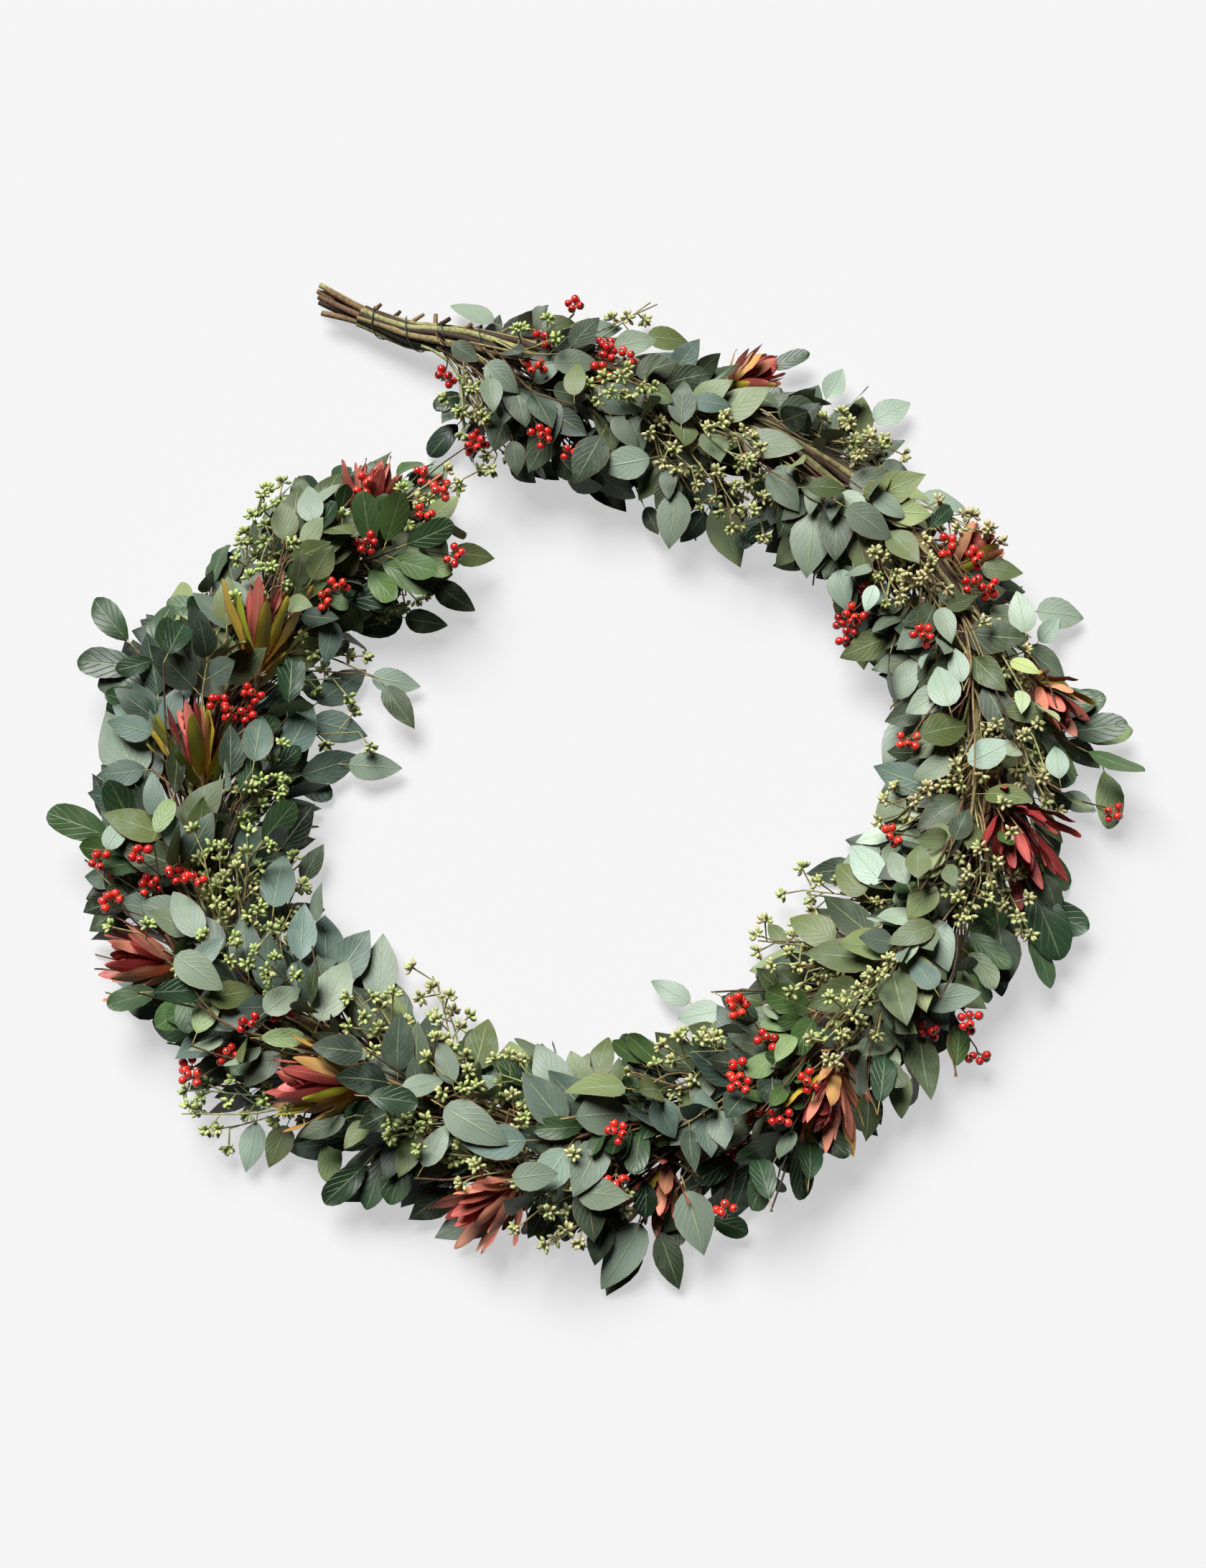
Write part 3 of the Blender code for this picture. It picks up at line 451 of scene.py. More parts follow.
class Cluster:
    """Buds or berries on one stalk: some round it, and one at its end."""

    HUB = ((0, 0.8), (0, 0.9), (2, 1.2))  # height over the centre and radius of its rings, in mm
    BARE = {5: (0, 3), 6: (0,)}

    def __init__(self, kind, root, centre, axis, spin, count):
        self.kind, self.root, self.centre, self.axis, self.spin = kind, root, centre, axis, spin
        self.bare = self.BARE[count]

    def ways(self):
        """The way that each fruit points, with None for a side that is bare."""
        across = self.axis.orthogonal().normalized()
        for k in range(6):
            aside = Matrix.Rotation(self.spin + math.tau * k / 6, 3, self.axis) @ across
            yield None if k in self.bare else (aside + self.axis * (0.25 if k % 2 else 0.65)).normalized()
        yield self.axis

    def shape(self, grow=0.0):
        skin, ways = Skin(), list(self.ways())
        across = self.axis.orthogonal().normalized()
        rows = []
        for middle, (height, radius) in zip((self.root, self.centre, self.centre), self.HUB):
            turns = [Matrix.Rotation(self.spin + math.tau * (k - 0.25) / 3, 3, self.axis) for k in range(3)]
            level = middle + self.axis * height * MM
            rows.append(skin.row([level + turn @ across * radius * MM for turn in turns]))
        skin.cap(rows[0][::-1])
        skin.band(rows[0], rows[1])
        for k in range(3):
            low, low_after = rows[1][k], rows[1][(k + 1) % 3]
            high, high_after = rows[2][k], rows[2][(k + 1) % 3]
            self.fruit(skin, [low, high_after, high], ways[2 * k], grow)
            self.fruit(skin, [low, low_after, high_after], ways[2 * k + 1], grow)
        self.fruit(skin, rows[2], ways[6], grow)
        return skin.shape()

    def fruit(self, skin, root, way, grow):
        """A bud or a berry, grown from three corners of the hub."""
        if way is None:
            skin.cap(root)
            return
        double, rings, length = FRUIT[self.kind]
        corners = [skin.verts[k] for k in root]
        middle = sum(corners, Vector()) / 3
        spread = [((c - middle) - way * (c - middle).dot(way)).normalized() for c in corners]
        if double:
            spread = [s for a, b in zip(spread, spread[1:] + spread[:1]) for s in (a, (a + b).normalized())]
            root = [k for k in root for _ in range(2)]
        for far, radius in rings:
            row = skin.row([middle + way * far * MM + s * (radius * MM + grow) for s in spread])
            skin.band(root, row)
            root = row
        skin.band(root, skin.row([middle + way * (length * MM + grow)]) * len(root))


class Bloom:
    """Bracts in an outer and an inner whorl round a closed cone, on a hub of six sides."""

    SIDES = 6
    HUB = ((-3, 4.0), (2, 6.5), (8, 6.0))  # height along the axis and radius of its rings, in mm
    CONE = ((0.34, 6.0), (0.56, 0.0))  # the same for the cone, the height as a share of the bloom's length

    def __init__(self, base, axis, size):
        self.base, self.axis, self.size = base, axis, size
        self.across = axis.orthogonal().normalized()
        self.bracts = {}

    def aside(self, k):
        return Matrix.Rotation(math.tau * k / self.SIDES, 3, self.axis) @ self.across

    def rings(self, grow):
        for height, radius in (*self.HUB, *((share * self.size / MM, radius) for share, radius in self.CONE)):
            middle = self.base + self.axis * (height * MM + (0 if radius else grow))
            reach = radius * MM + grow if radius else 0
            yield [middle + self.aside(k) * reach for k in range(self.SIDES)]

    def shape(self, grow=0.0):
        skin, before = Skin(), None
        for level, corners in enumerate(self.rings(grow)):
            pointed = corners[0] == corners[1]
            row = skin.row(corners[:1]) * self.SIDES if pointed else skin.row(corners)
            if before is None:
                skin.cap(row[::-1])
            else:
                grown = {k: bract for (whorl, k), bract in self.bracts.items() if whorl == level - 1}
                skin.band(before, row, grown)
                for k, bract in grown.items():
                    after = (k + 1) % self.SIDES
                    skin.blade([row[after], row[k], before[k], before[after]], bract, grow)
            before = row
        return skin.shape()

# %% [markdown]
# ## Room among the leaves
# Each thing that has found its place is kept with its box and its tree. The finished garland holds more than
# two thousand shapes, so a grid of cells over the table keeps the list that has to be asked short.

# %% What is taken
class Space:
    """Holds what is placed, and tells whether a shape would cross it."""

    CELL = 40 * MM

    def __init__(self):
        self.cells, self.own = {}, {}
        self.ceiling = math.inf

    @staticmethod
    def entry(node, shape, blade=False):
        verts, faces = shape
        low = [min(v[k] for v in verts) for k in range(3)]
        high = [max(v[k] for v in verts) for k in range(3)]
        return node, low, high, BVHTree.FromPolygons(verts, faces), blade

    def reached(self, entry):
        """The cells of the table that an entry stands over."""
        low, high = ([math.floor(corner[k] / self.CELL) for k in range(2)] for corner in entry[1:3])
        return [(x, y) for x in range(low[0], high[0] + 1) for y in range(low[1], high[1] + 1)]

    @staticmethod
    def meets(one, other):
        if any(one[1][k] > other[2][k] or other[1][k] > one[2][k] for k in range(3)):
            return False
        return bool(one[3].overlap(other[3]))

    def add(self, node, shape, blade=False):
        entry = self.entry(node, shape, blade)
        self.own.setdefault(node, []).append(entry)
        for cell in self.reached(entry):
            self.cells.setdefault(cell, []).append(entry)

    def clear(self, tried):
        """Whether an entry is clear of every other node."""
        near = (other for cell in self.reached(tried) for other in self.cells.get(cell, ()))
        return not any(self.meets(tried, other) for other in near if other[0] != tried[0])

    def free(self, node, shape, floor=FLOOR_GAP):
        """Whether a shape is above the floor and clear of every other node."""
        tried = self.entry(node, shape)
        return tried[1][2] >= floor and tried[2][2] <= self.ceiling and self.clear(tried)

    def crowded(self, node, shape, blades_only=False):
        """Whether a blade would cross what its own node already has."""
        tried = self.entry(node, shape)
        own = [other for other in self.own.get(node, ()) if other[4] or not blades_only]
        return any(self.meets(tried, other) for other in own)

    def nearest(self, node, point):
        """Nearest point on a node, and the way out of its surface there."""
        found = [entry[3].find_nearest(point) for entry in self.own[node]]
        place, way, _, _ = min(found, key=lambda f: f[3])
        return place, way


# %% [markdown]
# ## How the garland grows
# A stem leaves the bundle behind the place it reaches for, as wired stems do, and is tried again with other
# bends until it is clear. Leaves are tried at their joints in the same way.

# %% Growing stems and leaves
def arc(start, out, end, toward, pairs):
    """Points on the curve that leaves start along out and reaches end along toward, one for each pair."""
    reach = (end - start).length * 0.38
    b, c = start + out * reach, end - toward * reach
    joints = max(pairs, 1)
    points = []
    for t in (0, 0.12, *(0.45 + 0.55 * k / joints for k in range(joints)), 1):
        points.append(start * (1 - t) ** 3 + b * 3 * t * (1 - t) ** 2 + c * 3 * t * t * (1 - t) + end * t ** 3)
    return points


class Garland:
    """The lines that the garland follows, what stands along them, and how each kind of piece is grown."""

    def __init__(self):
        self.bundle = Line([Vector((*seen_at(x, y, z * MM), r * MM)) for x, y, z, r in STEM_BUNDLE])
        self.foliage = Line([Vector((*seen_at(x, y, FOLIAGE_LEVEL * MM), w * PIXEL)) for x, y, w in FOLIAGE])
        count = round(self.bundle.length / BUNDLE_STEP)
        self.stops = [self.bundle.at(self.bundle.length * i / count) for i in range(count + 1)]
        self.space = Space()
        self.rng = random.Random(SEED)
        self.pieces = {}
        self.slimness = 1.0
        self.bound_from = 24 * MM

    def in_bundle(self, s):
        """Middle and radius of the bundle, which runs straight from stop to stop."""
        place = s / self.bundle.length * (len(self.stops) - 1)
        i = min(int(place), len(self.stops) - 2)
        return self.stops[i].lerp(self.stops[i + 1], place - i)

    def put(self, node, piece, shape):
        """Adds a piece to a node. Its shape is what the pieces that come later keep clear of."""
        self.space.add(node, shape, isinstance(piece, Leaf))
        self.pieces.setdefault(node, []).append(piece)

    def nudge(self, size):
        return Vector([self.rng.uniform(-size, size) for _ in range(3)])

    def out_from(self, point):
        """The way out of the foliage at a point, as on a low mound."""
        middle = self.foliage.at(self.foliage.nearest(point))
        away = point - middle.to_3d()
        away.z = 0
        return (away / middle.w ** 2 + UP * (point.z + MOUND_SUNK) / MOUND ** 2).normalized()

    def bound_at(self, aim, back, radius):
        """Where a stem is bound on to the bundle: its first point, the way out there, and the way ahead."""
        s = max(self.bundle.nearest(aim) - back, self.bound_from)
        middle, ahead = self.bundle.at(s), self.bundle.along(s)
        lean = aim - middle.to_3d()
        lean = (lean - ahead * lean.dot(ahead)).normalized()
        place, way = self.space.nearest("stem_bundle", middle.to_3d() + lean * middle.w * 1.5)
        return place + way * (radius * 0.75 + CLEARANCE), way, ahead

    def stem(self, node, aim, toward, sort, parent=None, pairs=0, sides=4, wander=3 * MM):
        """A stem to a place, clear of every other node, from the bundle or its parent. None if none fits."""
        back, radius = BINDING[sort]
        radius *= self.slimness
        for attempt in range(TRIES["stem"]):
            shift = self.rng.uniform(-16, 16) * MM * (attempt > 0)
            if parent:
                start, ahead, _ = parent.at(self.rng.uniform(0.08, 0.34) * parent.end)
                out = (ahead + (aim - start).normalized() * (0.4 + 0.06 * attempt)).normalized()
            else:
                start, way, ahead = self.bound_at(aim, back + shift, radius)
                out = (ahead + way * (0.25 + 0.05 * attempt)).normalized()
            points = arc(start, out, aim + self.nudge(wander * min(attempt, 5)), toward, pairs)
            radii = [radius * (1 - TAPER * i / len(points)) for i in range(len(points))]
            stem = Stem(points, radii, sides)
            if self.space.free(node, stem.shape(CLEARANCE * 0.8)):
                self.put(node, stem, stem.shape())
                return stem
        return None

    def leaf(self, node, kind, stem, place, ahead, face, flat=False):
        """A leaf at a place on a stem, turned a little at a time until it is clear. None where none fits."""
        joint, hand = place
        root, along, radius = stem.at(joint)
        root = root + along.cross(face).normalized() * hand * radius * SQUARE
        length, width = LEAF_SIZE[kind]
        for attempt in range(TRIES["leaf"]):
            spread = 0.10 + 0.05 * attempt
            turned = (ahead + self.nudge(spread) + face * 0.05 * attempt).normalized()
            shown = face + self.nudge(spread * 1.4)
            scale = self.rng.uniform(0.86, 1.10) * (1 - 0.014 * attempt)
            arch = self.rng.choice(ARCHES)
            base = root + turned * STALK
            if flat:
                arch, shown = 0, UP
                base.z = BLADE / 2
                turned = Vector((turned.x, turned.y, 0))
            else:
                turned.z = max(turned.z, (4 * MM - base.z) / (length * scale))
            leaf = Leaf(kind, root, base, turned, shown, length * scale, width * scale, arch)
            floor = -BLADE if flat else FLOOR_GAP + CLEARANCE
            if not self.space.free(node, leaf.shape(CLEARANCE * 0.8), floor):
                continue
            if self.space.crowded(node, leaf.shape(stalk=False)):
                continue
            stem.leaves[place] = leaf
            if not crosses_itself(stem.leafy()):
                self.put(node, leaf, leaf.shape())
                return leaf
            del stem.leaves[place]
        return None

    def places(self, stem, pairs, lift=0.22):
        """Place, direction and face of each leaf on a stem: pairs along it, and one at its end."""
        for joint in range(2, 2 + pairs):
            root, along, _ = stem.at(joint)
            face = stem.faces[joint] = self.out_from(root)
            side = along.cross(face).normalized()
            for hand in (-1, 1):
                turn = math.radians(self.rng.uniform(*SPREAD))
                yield (joint, hand), along * math.cos(turn) + side * hand * math.sin(turn) + face * lift, face
        end, along, _ = stem.at(stem.end)
        face = self.out_from(end)
        yield (stem.end, 0), along + face * 0.15, face

    def leaves(self, node, kind, stem, pairs):
        for place, ahead, face in self.places(stem, pairs):
            self.leaf(node, kind, stem, place, ahead, face)
        self.space.add(node, stem.leafy())

# %% [markdown]
# ## Each kind of bunch
# One short function for each kind. Blooms and berries come first, because they show most, and the eucalyptus
# takes what room is left.

# %% The kinds of bunch
def stem_bundle(garland):
    """The bound stems: one knobbly rope that frays into seven cut stems at the bare end."""
    node, line = "stem_bundle", garland.bundle
    middles, radii = [p.to_3d() for p in garland.stops], [p.w for p in garland.stops]
    rope = tube(middles, radii, BUNDLE_SIDES, lobe=0.2, twist=0.35)
    garland.put(node, rope, rope)
    start, ahead = line.at(0), line.along(0)
    beside = UP.cross(ahead).normalized()
    for k in range(CUT_STEMS):
        turn = math.tau * k / (CUT_STEMS - 1)
        inside = 0 if k == CUT_STEMS - 1 else 0.58
        offset = (beside * math.cos(turn) + UP * math.sin(turn)) * start.w * inside
        splay = offset * garland.rng.uniform(0.2, 0.9) + beside * garland.rng.uniform(-3, 3) * MM
        length = garland.rng.uniform(26, 52) * MM
        points = [line.at(45 * MM).to_3d() + offset * 0.8, start.to_3d() + offset]
        points.append(points[1] - ahead * length + splay)
        cut_stem = tube(points, [3.6 * MM, 3.4 * MM, 2.8 * MM], 5)
        garland.put(node, cut_stem, cut_stem)


def wire_places(line):
    """How far along the bundle each point of the wire is, with as many to a turn as the bundle has sides."""
    s, (close, long, change) = WIRE_FROM, WIRE_TURNS
    while s < line.length - 60 * MM:
        yield s
        s += (close if s < change else long) / BUNDLE_SIDES


def binding_wire(garland):
    """One wire, wound close round the bare stems and in long turns along the rest."""
    line, points, turn = garland.bundle, [], 0.0
    across = line.along(WIRE_FROM).orthogonal().normalized()
    for s in wire_places(line):
        middle, ahead = garland.in_bundle(s), line.along(s)
        across = (across - ahead * across.dot(ahead)).normalized()
        reach = (middle.w + 2 * WIRE) / math.cos(math.pi / BUNDLE_SIDES)
        points.append(middle.to_3d() + Matrix.Rotation(turn, 3, ahead) @ across * reach)
        turn += math.tau / BUNDLE_SIDES
    wire = tube(points, [WIRE] * len(points), 3)
    garland.put("binding_wire", wire, wire)


def bloom(garland, node, row):
    """A conebush bloom on its stem, with its bracts tried one by one."""
    px, py, degrees, height, size = row
    rng, space = garland.rng, garland.space
    axis = heading(degrees, rise=0.42)
    for rise in range(8):
        head = Bloom(seen_at(px, py, (height - 14 + 3 * rise) * MM), axis, size * MM)
        if space.free(node, head.shape(CLEARANCE)):
            break
    if garland.stem(node, head.base, axis, "bloom", wander=0) is None:
        return
    garland.put(node, head, head.shape())
    for whorl, count, lean, long in WHORLS:
        for k in rng.sample(range(Bloom.SIDES), count):
            aside = head.aside(k + 0.5)
            root = head.base + axis * (8 * whorl - 0.5) * MM + aside * 5.5 * MM
            for attempt in range(TRIES["bract"]):
                tilt = lean + rng.uniform(-0.12, 0.12) * (1 + attempt * 0.25)
                ahead = axis * math.cos(tilt) + aside * math.sin(tilt)
                face = axis * math.sin(tilt) - aside * math.cos(tilt)
                length = size * MM * long * rng.uniform(0.85, 1.0) * (1 - 0.02 * attempt) - 6 * MM
                bract = Leaf("bract", root, root, ahead, face, length, BRACT_WIDTH, BRACT_ARCH)
                head.bracts[whorl, k] = bract
                clear = space.free(node, head.shape(CLEARANCE)) and not crosses_itself(head.shape())
                if clear and not space.crowded(node, bract.shape(), True):
                    space.add(node, bract.shape(), blade=True)
                    break
                del head.bracts[whorl, k]
    space.add(node, head.shape())


def clusters(garland, node, kind, stem, count, toward, out):
    """Clusters of buds or berries: one at the end of a stem, the others to its left and right."""
    rng = garland.rng
    aside = out.cross(toward).normalized()
    for k in range(count):
        root, _, _ = stem.at((1 - 0.62 * k / count) * stem.end)
        for attempt in range(TRIES["cluster"]):
            way = aside * (-1) ** k * rng.uniform(0.7, 1.3) + out * rng.uniform(0.3, 1.0) + toward * 0.5
            way = (toward + garland.nudge(0.1 * attempt)).normalized() if k == 0 else way.normalized()
            centre = root + way * (13 if k else 4) * rng.uniform(0.8, 1.2) * MM
            cluster = Cluster(kind, root, centre, way, rng.uniform(0, math.tau), rng.choice((5, 5, 6)))
            if garland.space.free(node, cluster.shape(CLEARANCE)):
                garland.put(node, cluster, cluster.shape())
                break


def berry_bunch(garland, node, row):
    """Berries on a twig that stands out of the foliage."""
    px, py, height, count = row
    middle = seen_at(px, py, height * MM)
    out = garland.out_from(middle)
    stem = garland.stem(node, middle - out * 6 * MM, out, "berries", sides=3)
    if stem:
        ahead = garland.bundle.along(garland.bundle.nearest(middle))
        clusters(garland, node, "berry", stem, count, out, ahead)


def panicle(garland, node, row):
    """A branched twig whose ends open into umbels of buds."""
    px, py, degrees, height, count = row
    middle = seen_at(px, py, height * MM)
    toward = heading(degrees, rise=0.1)
    stem = garland.stem(node, middle + toward * 16 * MM, toward, "buds", sides=3)
    if stem:
        clusters(garland, node, "bud", stem, count, toward, garland.out_from(middle))


def branch(garland, node, row):
    """A cotoneaster branch: leaves left and right along one stem."""
    px, py, degrees, height, pairs = row
    toward = heading(degrees, rise=0.05)
    stem = garland.stem(node, seen_at(px, py, height * MM), toward, "cotoneaster", pairs=pairs)
    if stem:
        garland.leaves(node, "cotoneaster", stem, pairs)


def bunch(garland, node, index):
    """A eucalyptus bunch: stems to the middle and both sides, and a short one with a leaf on the table."""
    line = garland.foliage
    s = line.length * (index + 0.62) / BUNCHES
    middle, ahead = line.at(s), line.along(s)
    outer = UP.cross(ahead).normalized()
    first, sides = None, {}
    for share, height, pairs in BUNCH_STEMS:
        aim = middle.to_3d() + outer * share * middle.w
        aim.z = height * MM
        toward = (ahead + outer * share * 1.1 - UP * abs(share) * 0.3).normalized()
        stem = garland.stem(node, aim, toward, "eucalyptus", first, pairs)
        if stem:
            first = first or stem
            sides[share > 0] = stem
            garland.leaves(node, "eucalyptus", stem, pairs)
    hand = 1 if index % 2 else -1
    if (hand > 0) in sides:
        share, height, further = RESTING_STEM
        aim = middle.to_3d() + outer * hand * share * middle.w + ahead * further
        aim.z = height
        toward = (ahead + outer * hand * 0.9).normalized()
        stem = garland.stem(node, aim, toward, "resting", sides[hand > 0])
        if stem:
            garland.leaf(node, "eucalyptus", stem, (stem.end, 0), toward, UP, flat=True)


def trailer(garland, node, row):
    """A stem that hangs down to the table, with one leaf that lies flat at its end."""
    px, py, degrees = row
    toward = heading(degrees)
    stem = garland.stem(node, seen_at(px, py, RESTING_STEM[1]), toward, "eucalyptus")
    if stem:
        garland.leaf(node, "eucalyptus", stem, (stem.end, 0), toward, UP, flat=True)


def grow_all(garland):
    """Everything on the garland, the pieces that show most first."""
    stem_bundle(garland)
    binding_wire(garland)
    kinds = (
        ("bloom", BLOOMS, bloom), ("berries", BERRIES, berry_bunch), ("buds", PANICLES, panicle),
        ("cotoneaster", BRANCHES, branch), ("eucalyptus", range(BUNCHES), bunch),
    )
    for kind, rows, grow in kinds:
        for number, row in enumerate(rows, 1):
            grow(garland, f"{kind}_{number:02d}", row)
    for number, row in enumerate(TRAILERS, BUNCHES + 1):
        trailer(garland, f"eucalyptus_{number:02d}", row)

# %% Grow the CAD's skeleton and lay it on the frame
garland = Garland()
grow_all(garland)
grown_box = [min(v[k] for verts, _ in garland.pieces["stem_bundle"] for v in verts) for k in range(3)]
TO_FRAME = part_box("stem_bundle")[0] - Vector(grown_box)
print("bunches:", len(garland.pieces), "moved on to the frame by mm:", [round(1000 * x, 2) for x in TO_FRAME])

# %% [markdown]
# ## Shader maths
# Written out node by node, each sum would take three lines. So one small class wraps a socket and lets
# Python's own operators add the Math nodes. One method makes any other node from its type, its settings and
# what its sockets hold.

# %% Signals
def fill_in(node, values):
    """Sets a node's inputs, by name or number, or links them to signals."""
    for name, value in dict(values).items():
        if isinstance(value, Signal):
            value.tree.links.new(value.socket, node.inputs[name])
        else:
            node.inputs[name].default_value = value


class Signal:
    """An output in a tree of nodes. Sums and products of signals add Math nodes."""

    def __init__(self, tree, socket):
        self.tree, self.socket = tree, socket

    @classmethod
    def made(cls, tree, kind, settings=(), values=(), output=0):
        node = tree.nodes.new(kind)
        for name, value in dict(settings).items():
            setattr(node, name, value)
        fill_in(node, values)
        return cls(tree, node.outputs[output])

    def maths(self, operation, *others):
        values = dict(enumerate((self, *others)))
        return Signal.made(self.tree, "ShaderNodeMath", {"operation": operation}, values)

    def __add__(self, other):
        return self.maths("ADD", other)

    def __mul__(self, other):
        return self.maths("MULTIPLY", other)

    def __sub__(self, other):
        return self.maths("SUBTRACT", other)

    def __rsub__(self, other):
        return Signal.made(self.tree, "ShaderNodeMath", {"operation": "SUBTRACT"}, {0: other, 1: self})

    __radd__, __rmul__ = __add__, __mul__

    def rise(self, low, high):
        """0 below low, 1 above high, and a smooth step between."""
        values = {"Value": self, "From Min": low, "From Max": high}
        return Signal.made(self.tree, "ShaderNodeMapRange", {"interpolation_type": "SMOOTHSTEP"}, values)


def mix(share, first, second, blend="MIX"):
    """The colour between two others."""
    tree = (share if isinstance(share, Signal) else first).tree
    values = {0: share, 6: colour_of(first), 7: colour_of(second)}
    return Signal.made(tree, "ShaderNodeMix", {"data_type": "RGBA", "blend_type": blend}, values, 2)


def tinted(colour, by, share=1.0):
    """A colour multiplied by another."""
    return mix(share, colour, by, "MULTIPLY")


def layered(colour, palette, **shares):
    """A colour with colours of a palette laid over it in turn, each with its share."""
    for name, share in shares.items():
        colour = mix(share, colour, palette[name])
    return colour


def colour_of(value):
    return value if isinstance(value, Signal) else (*value, 1)


def ramp(share, *stops):
    """Colours from stop to stop, each stop a place from 0 to 1 with its colour."""
    made = Signal.made(share.tree, "ShaderNodeValToRGB", values={0: share})
    elements = made.socket.node.color_ramp.elements
    while len(elements) < len(stops):
        elements.new(0.5)
    for element, (place, colour) in zip(elements, stops):
        element.position, element.color = place, (*colour, 1)
    return made


# %% A new finish
class Finish:
    """A material with its Principled shader, and the signals that most finishes start from."""

    def __init__(self, name, roughness, specular=0.5, coat=0.0):
        self.material = bpy.data.materials.new(name)
        self.material.use_nodes = True
        self.tree = self.material.node_tree
        self.shader = self.tree.nodes["Principled BSDF"]
        fill_in(self.shader, {"Roughness": roughness, "Specular IOR Level": specular, "Coat Weight": coat})
        self.tone = self.add("ShaderNodeAttribute", {"attribute_name": "tone"}, output=2)
        self.hue = self.add("ShaderNodeAttribute", {"attribute_name": "hue"}, output=2)

    def add(self, kind, settings=(), values=(), output=0):
        return Signal.made(self.tree, kind, settings, values, output)

    def noise(self, scale, detail=3.0):
        """Noise from 0 to 1 over the object, with its scale in repeats to a metre."""
        place = self.add("ShaderNodeTexCoord", output=3)
        return self.add("ShaderNodeTexNoise", values={"Vector": place, "Scale": scale, "Detail": detail})

    def fibres(self, across, along, scale):
        """Noise drawn out along a blade, different on each because its tone and hue set the noise off."""
        place = {0: across * 4, 1: along * 0.7, 2: self.tone * 9 + self.hue * 7}
        place = self.add("ShaderNodeCombineXYZ", values=place)
        return self.add("ShaderNodeTexNoise", values={"Vector": place, "Scale": scale, "Detail": 3.0})

    def over_blade(self):
        """Across, along and aside of a blade's midrib, and whether it is the underside or the stalk."""
        blade = self.add("ShaderNodeUVMap", {"uv_map": "blade"})
        place, along = (self.add("ShaderNodeSeparateXYZ", values={0: blade}, output=k) for k in (0, 1))
        across = place.maths("FRACT")
        aside = (across - 0.5).maths("ABSOLUTE")
        return across, along, aside, place.maths("GREATER_THAN", 1), place.maths("GREATER_THAN", 2)

    def wear(self, colour, bump, depth, **others):
        """Links what varies over the surface: its colour, a bump of some depth in metres, and other inputs."""
        raised = self.add("ShaderNodeBump", values={"Height": bump, "Distance": depth, "Strength": 1.0})
        fill_in(self.shader, {"Base Color": colour, "Normal": raised, **others})
        return self.material


# %% [markdown]
# ## Leaf finishes
# A eucalyptus leaf is matte and grey-green, with a thin pale midrib, faint side veins and a fine red edge.
# Cotoneaster leaves are dark above with sunken veins, and pale below. The patterns are drawn on the blade's
# own UV map, which runs from 0 to 1 across and along it, so they bend with the leaf. The underside lies one
# step to the right on that map and the stalk two, so that one finish can tell them apart.

# %% Eucalyptus and cotoneaster leaves
def vein_lines(along, aside, count, slant, width):
    """1 on the side veins, which slant forward from the midrib."""
    place = ((along - aside * 2 * slant) * count).maths("FRACT")
    return 1 - (place - 0.5).maths("ABSOLUTE").rise(0.0, width)


def eucalyptus_finish():
    finish = Finish("eucalyptus_leaf", 0.48, specular=0.4)
    across, along, aside, under, stalk = finish.over_blade()
    green = tinted(ramp(finish.tone, *GREENS["eucalyptus"]), ramp(finish.hue, *GREENS["hues"]))
    cloudy = finish.noise(70, 4)
    veins = vein_lines(along, aside, 10, 0.30, 0.14)
    midrib = 1 - aside.rise(0.008, 0.03)
    fibres = finish.fibres(across, along, 6).rise(0.5, 0.8)
    spots = finish.noise(700, 2).rise(0.68, 0.78)
    green = layered(green, GREENS, cloud=cloudy.rise(0.45, 0.85) * 0.35, under=under * 0.45,
                    vein=veins * 0.11)
    green = layered(green, GREENS, vein=midrib * 0.42, deep=fibres * 0.25, spot=spots * 0.35,
                    edge=aside.rise(0.47, 0.495) * 0.5, stalk=stalk)
    return finish.wear(green, midrib + veins * 0.4 + cloudy * 0.3, 0.0003)


def cotoneaster_finish():
    finish = Finish("cotoneaster_leaf", 0.34, specular=0.5)
    _, along, aside, under, stalk = finish.over_blade()
    green = tinted(ramp(finish.tone, *GREENS["cotoneaster"]), ramp(finish.hue, *GREENS["hues"]), 0.6)
    veins = vein_lines(along, aside, 7, 0.34, 0.14)
    midrib = 1 - aside.rise(0.012, 0.04)
    lines = veins * (finish.tone * 0.22 + 0.04) + midrib * 0.35
    cloudy = finish.noise(120, 3).rise(0.4, 0.8)
    green = layered(green, GREENS, deep=cloudy * 0.25, sage=under, pale_vein=lines, stalk=stalk)
    gloss = under * 0.25 + finish.tone * 0.2 + 0.36
    return finish.wear(green, veins.maths("MAXIMUM", midrib), -0.0002, Roughness=gloss)


GREENS = {
    "eucalyptus": ((0.0, (0.006, 0.012, 0.006)), (0.25, (0.042, 0.064, 0.041)), (0.5, (0.130, 0.168, 0.124)),
                   (0.75, (0.28, 0.35, 0.265)), (1.0, (0.50, 0.60, 0.47))),
    "hues": ((0.0, (0.82, 1.0, 1.12)), (0.45, (1.0, 1.0, 0.97)), (0.75, (1.0, 1.0, 0.62)),
             (1.0, (1.04, 1.0, 0.42))),
    "cotoneaster": ((0.0, (0.006, 0.020, 0.008)), (0.35, (0.022, 0.055, 0.020)), (0.7, (0.075, 0.14, 0.045)),
                    (1.0, (0.26, 0.35, 0.19))),
    "cloud": (0.25, 0.32, 0.25), "under": (0.40, 0.50, 0.38), "vein": (0.42, 0.47, 0.26),
    "spot": (0.09, 0.10, 0.05), "edge": (0.24, 0.11, 0.06), "stalk": (0.34, 0.28, 0.10),
    "deep": (0.012, 0.030, 0.014), "sage": (0.27, 0.33, 0.21), "pale_vein": (0.24, 0.31, 0.16),
}

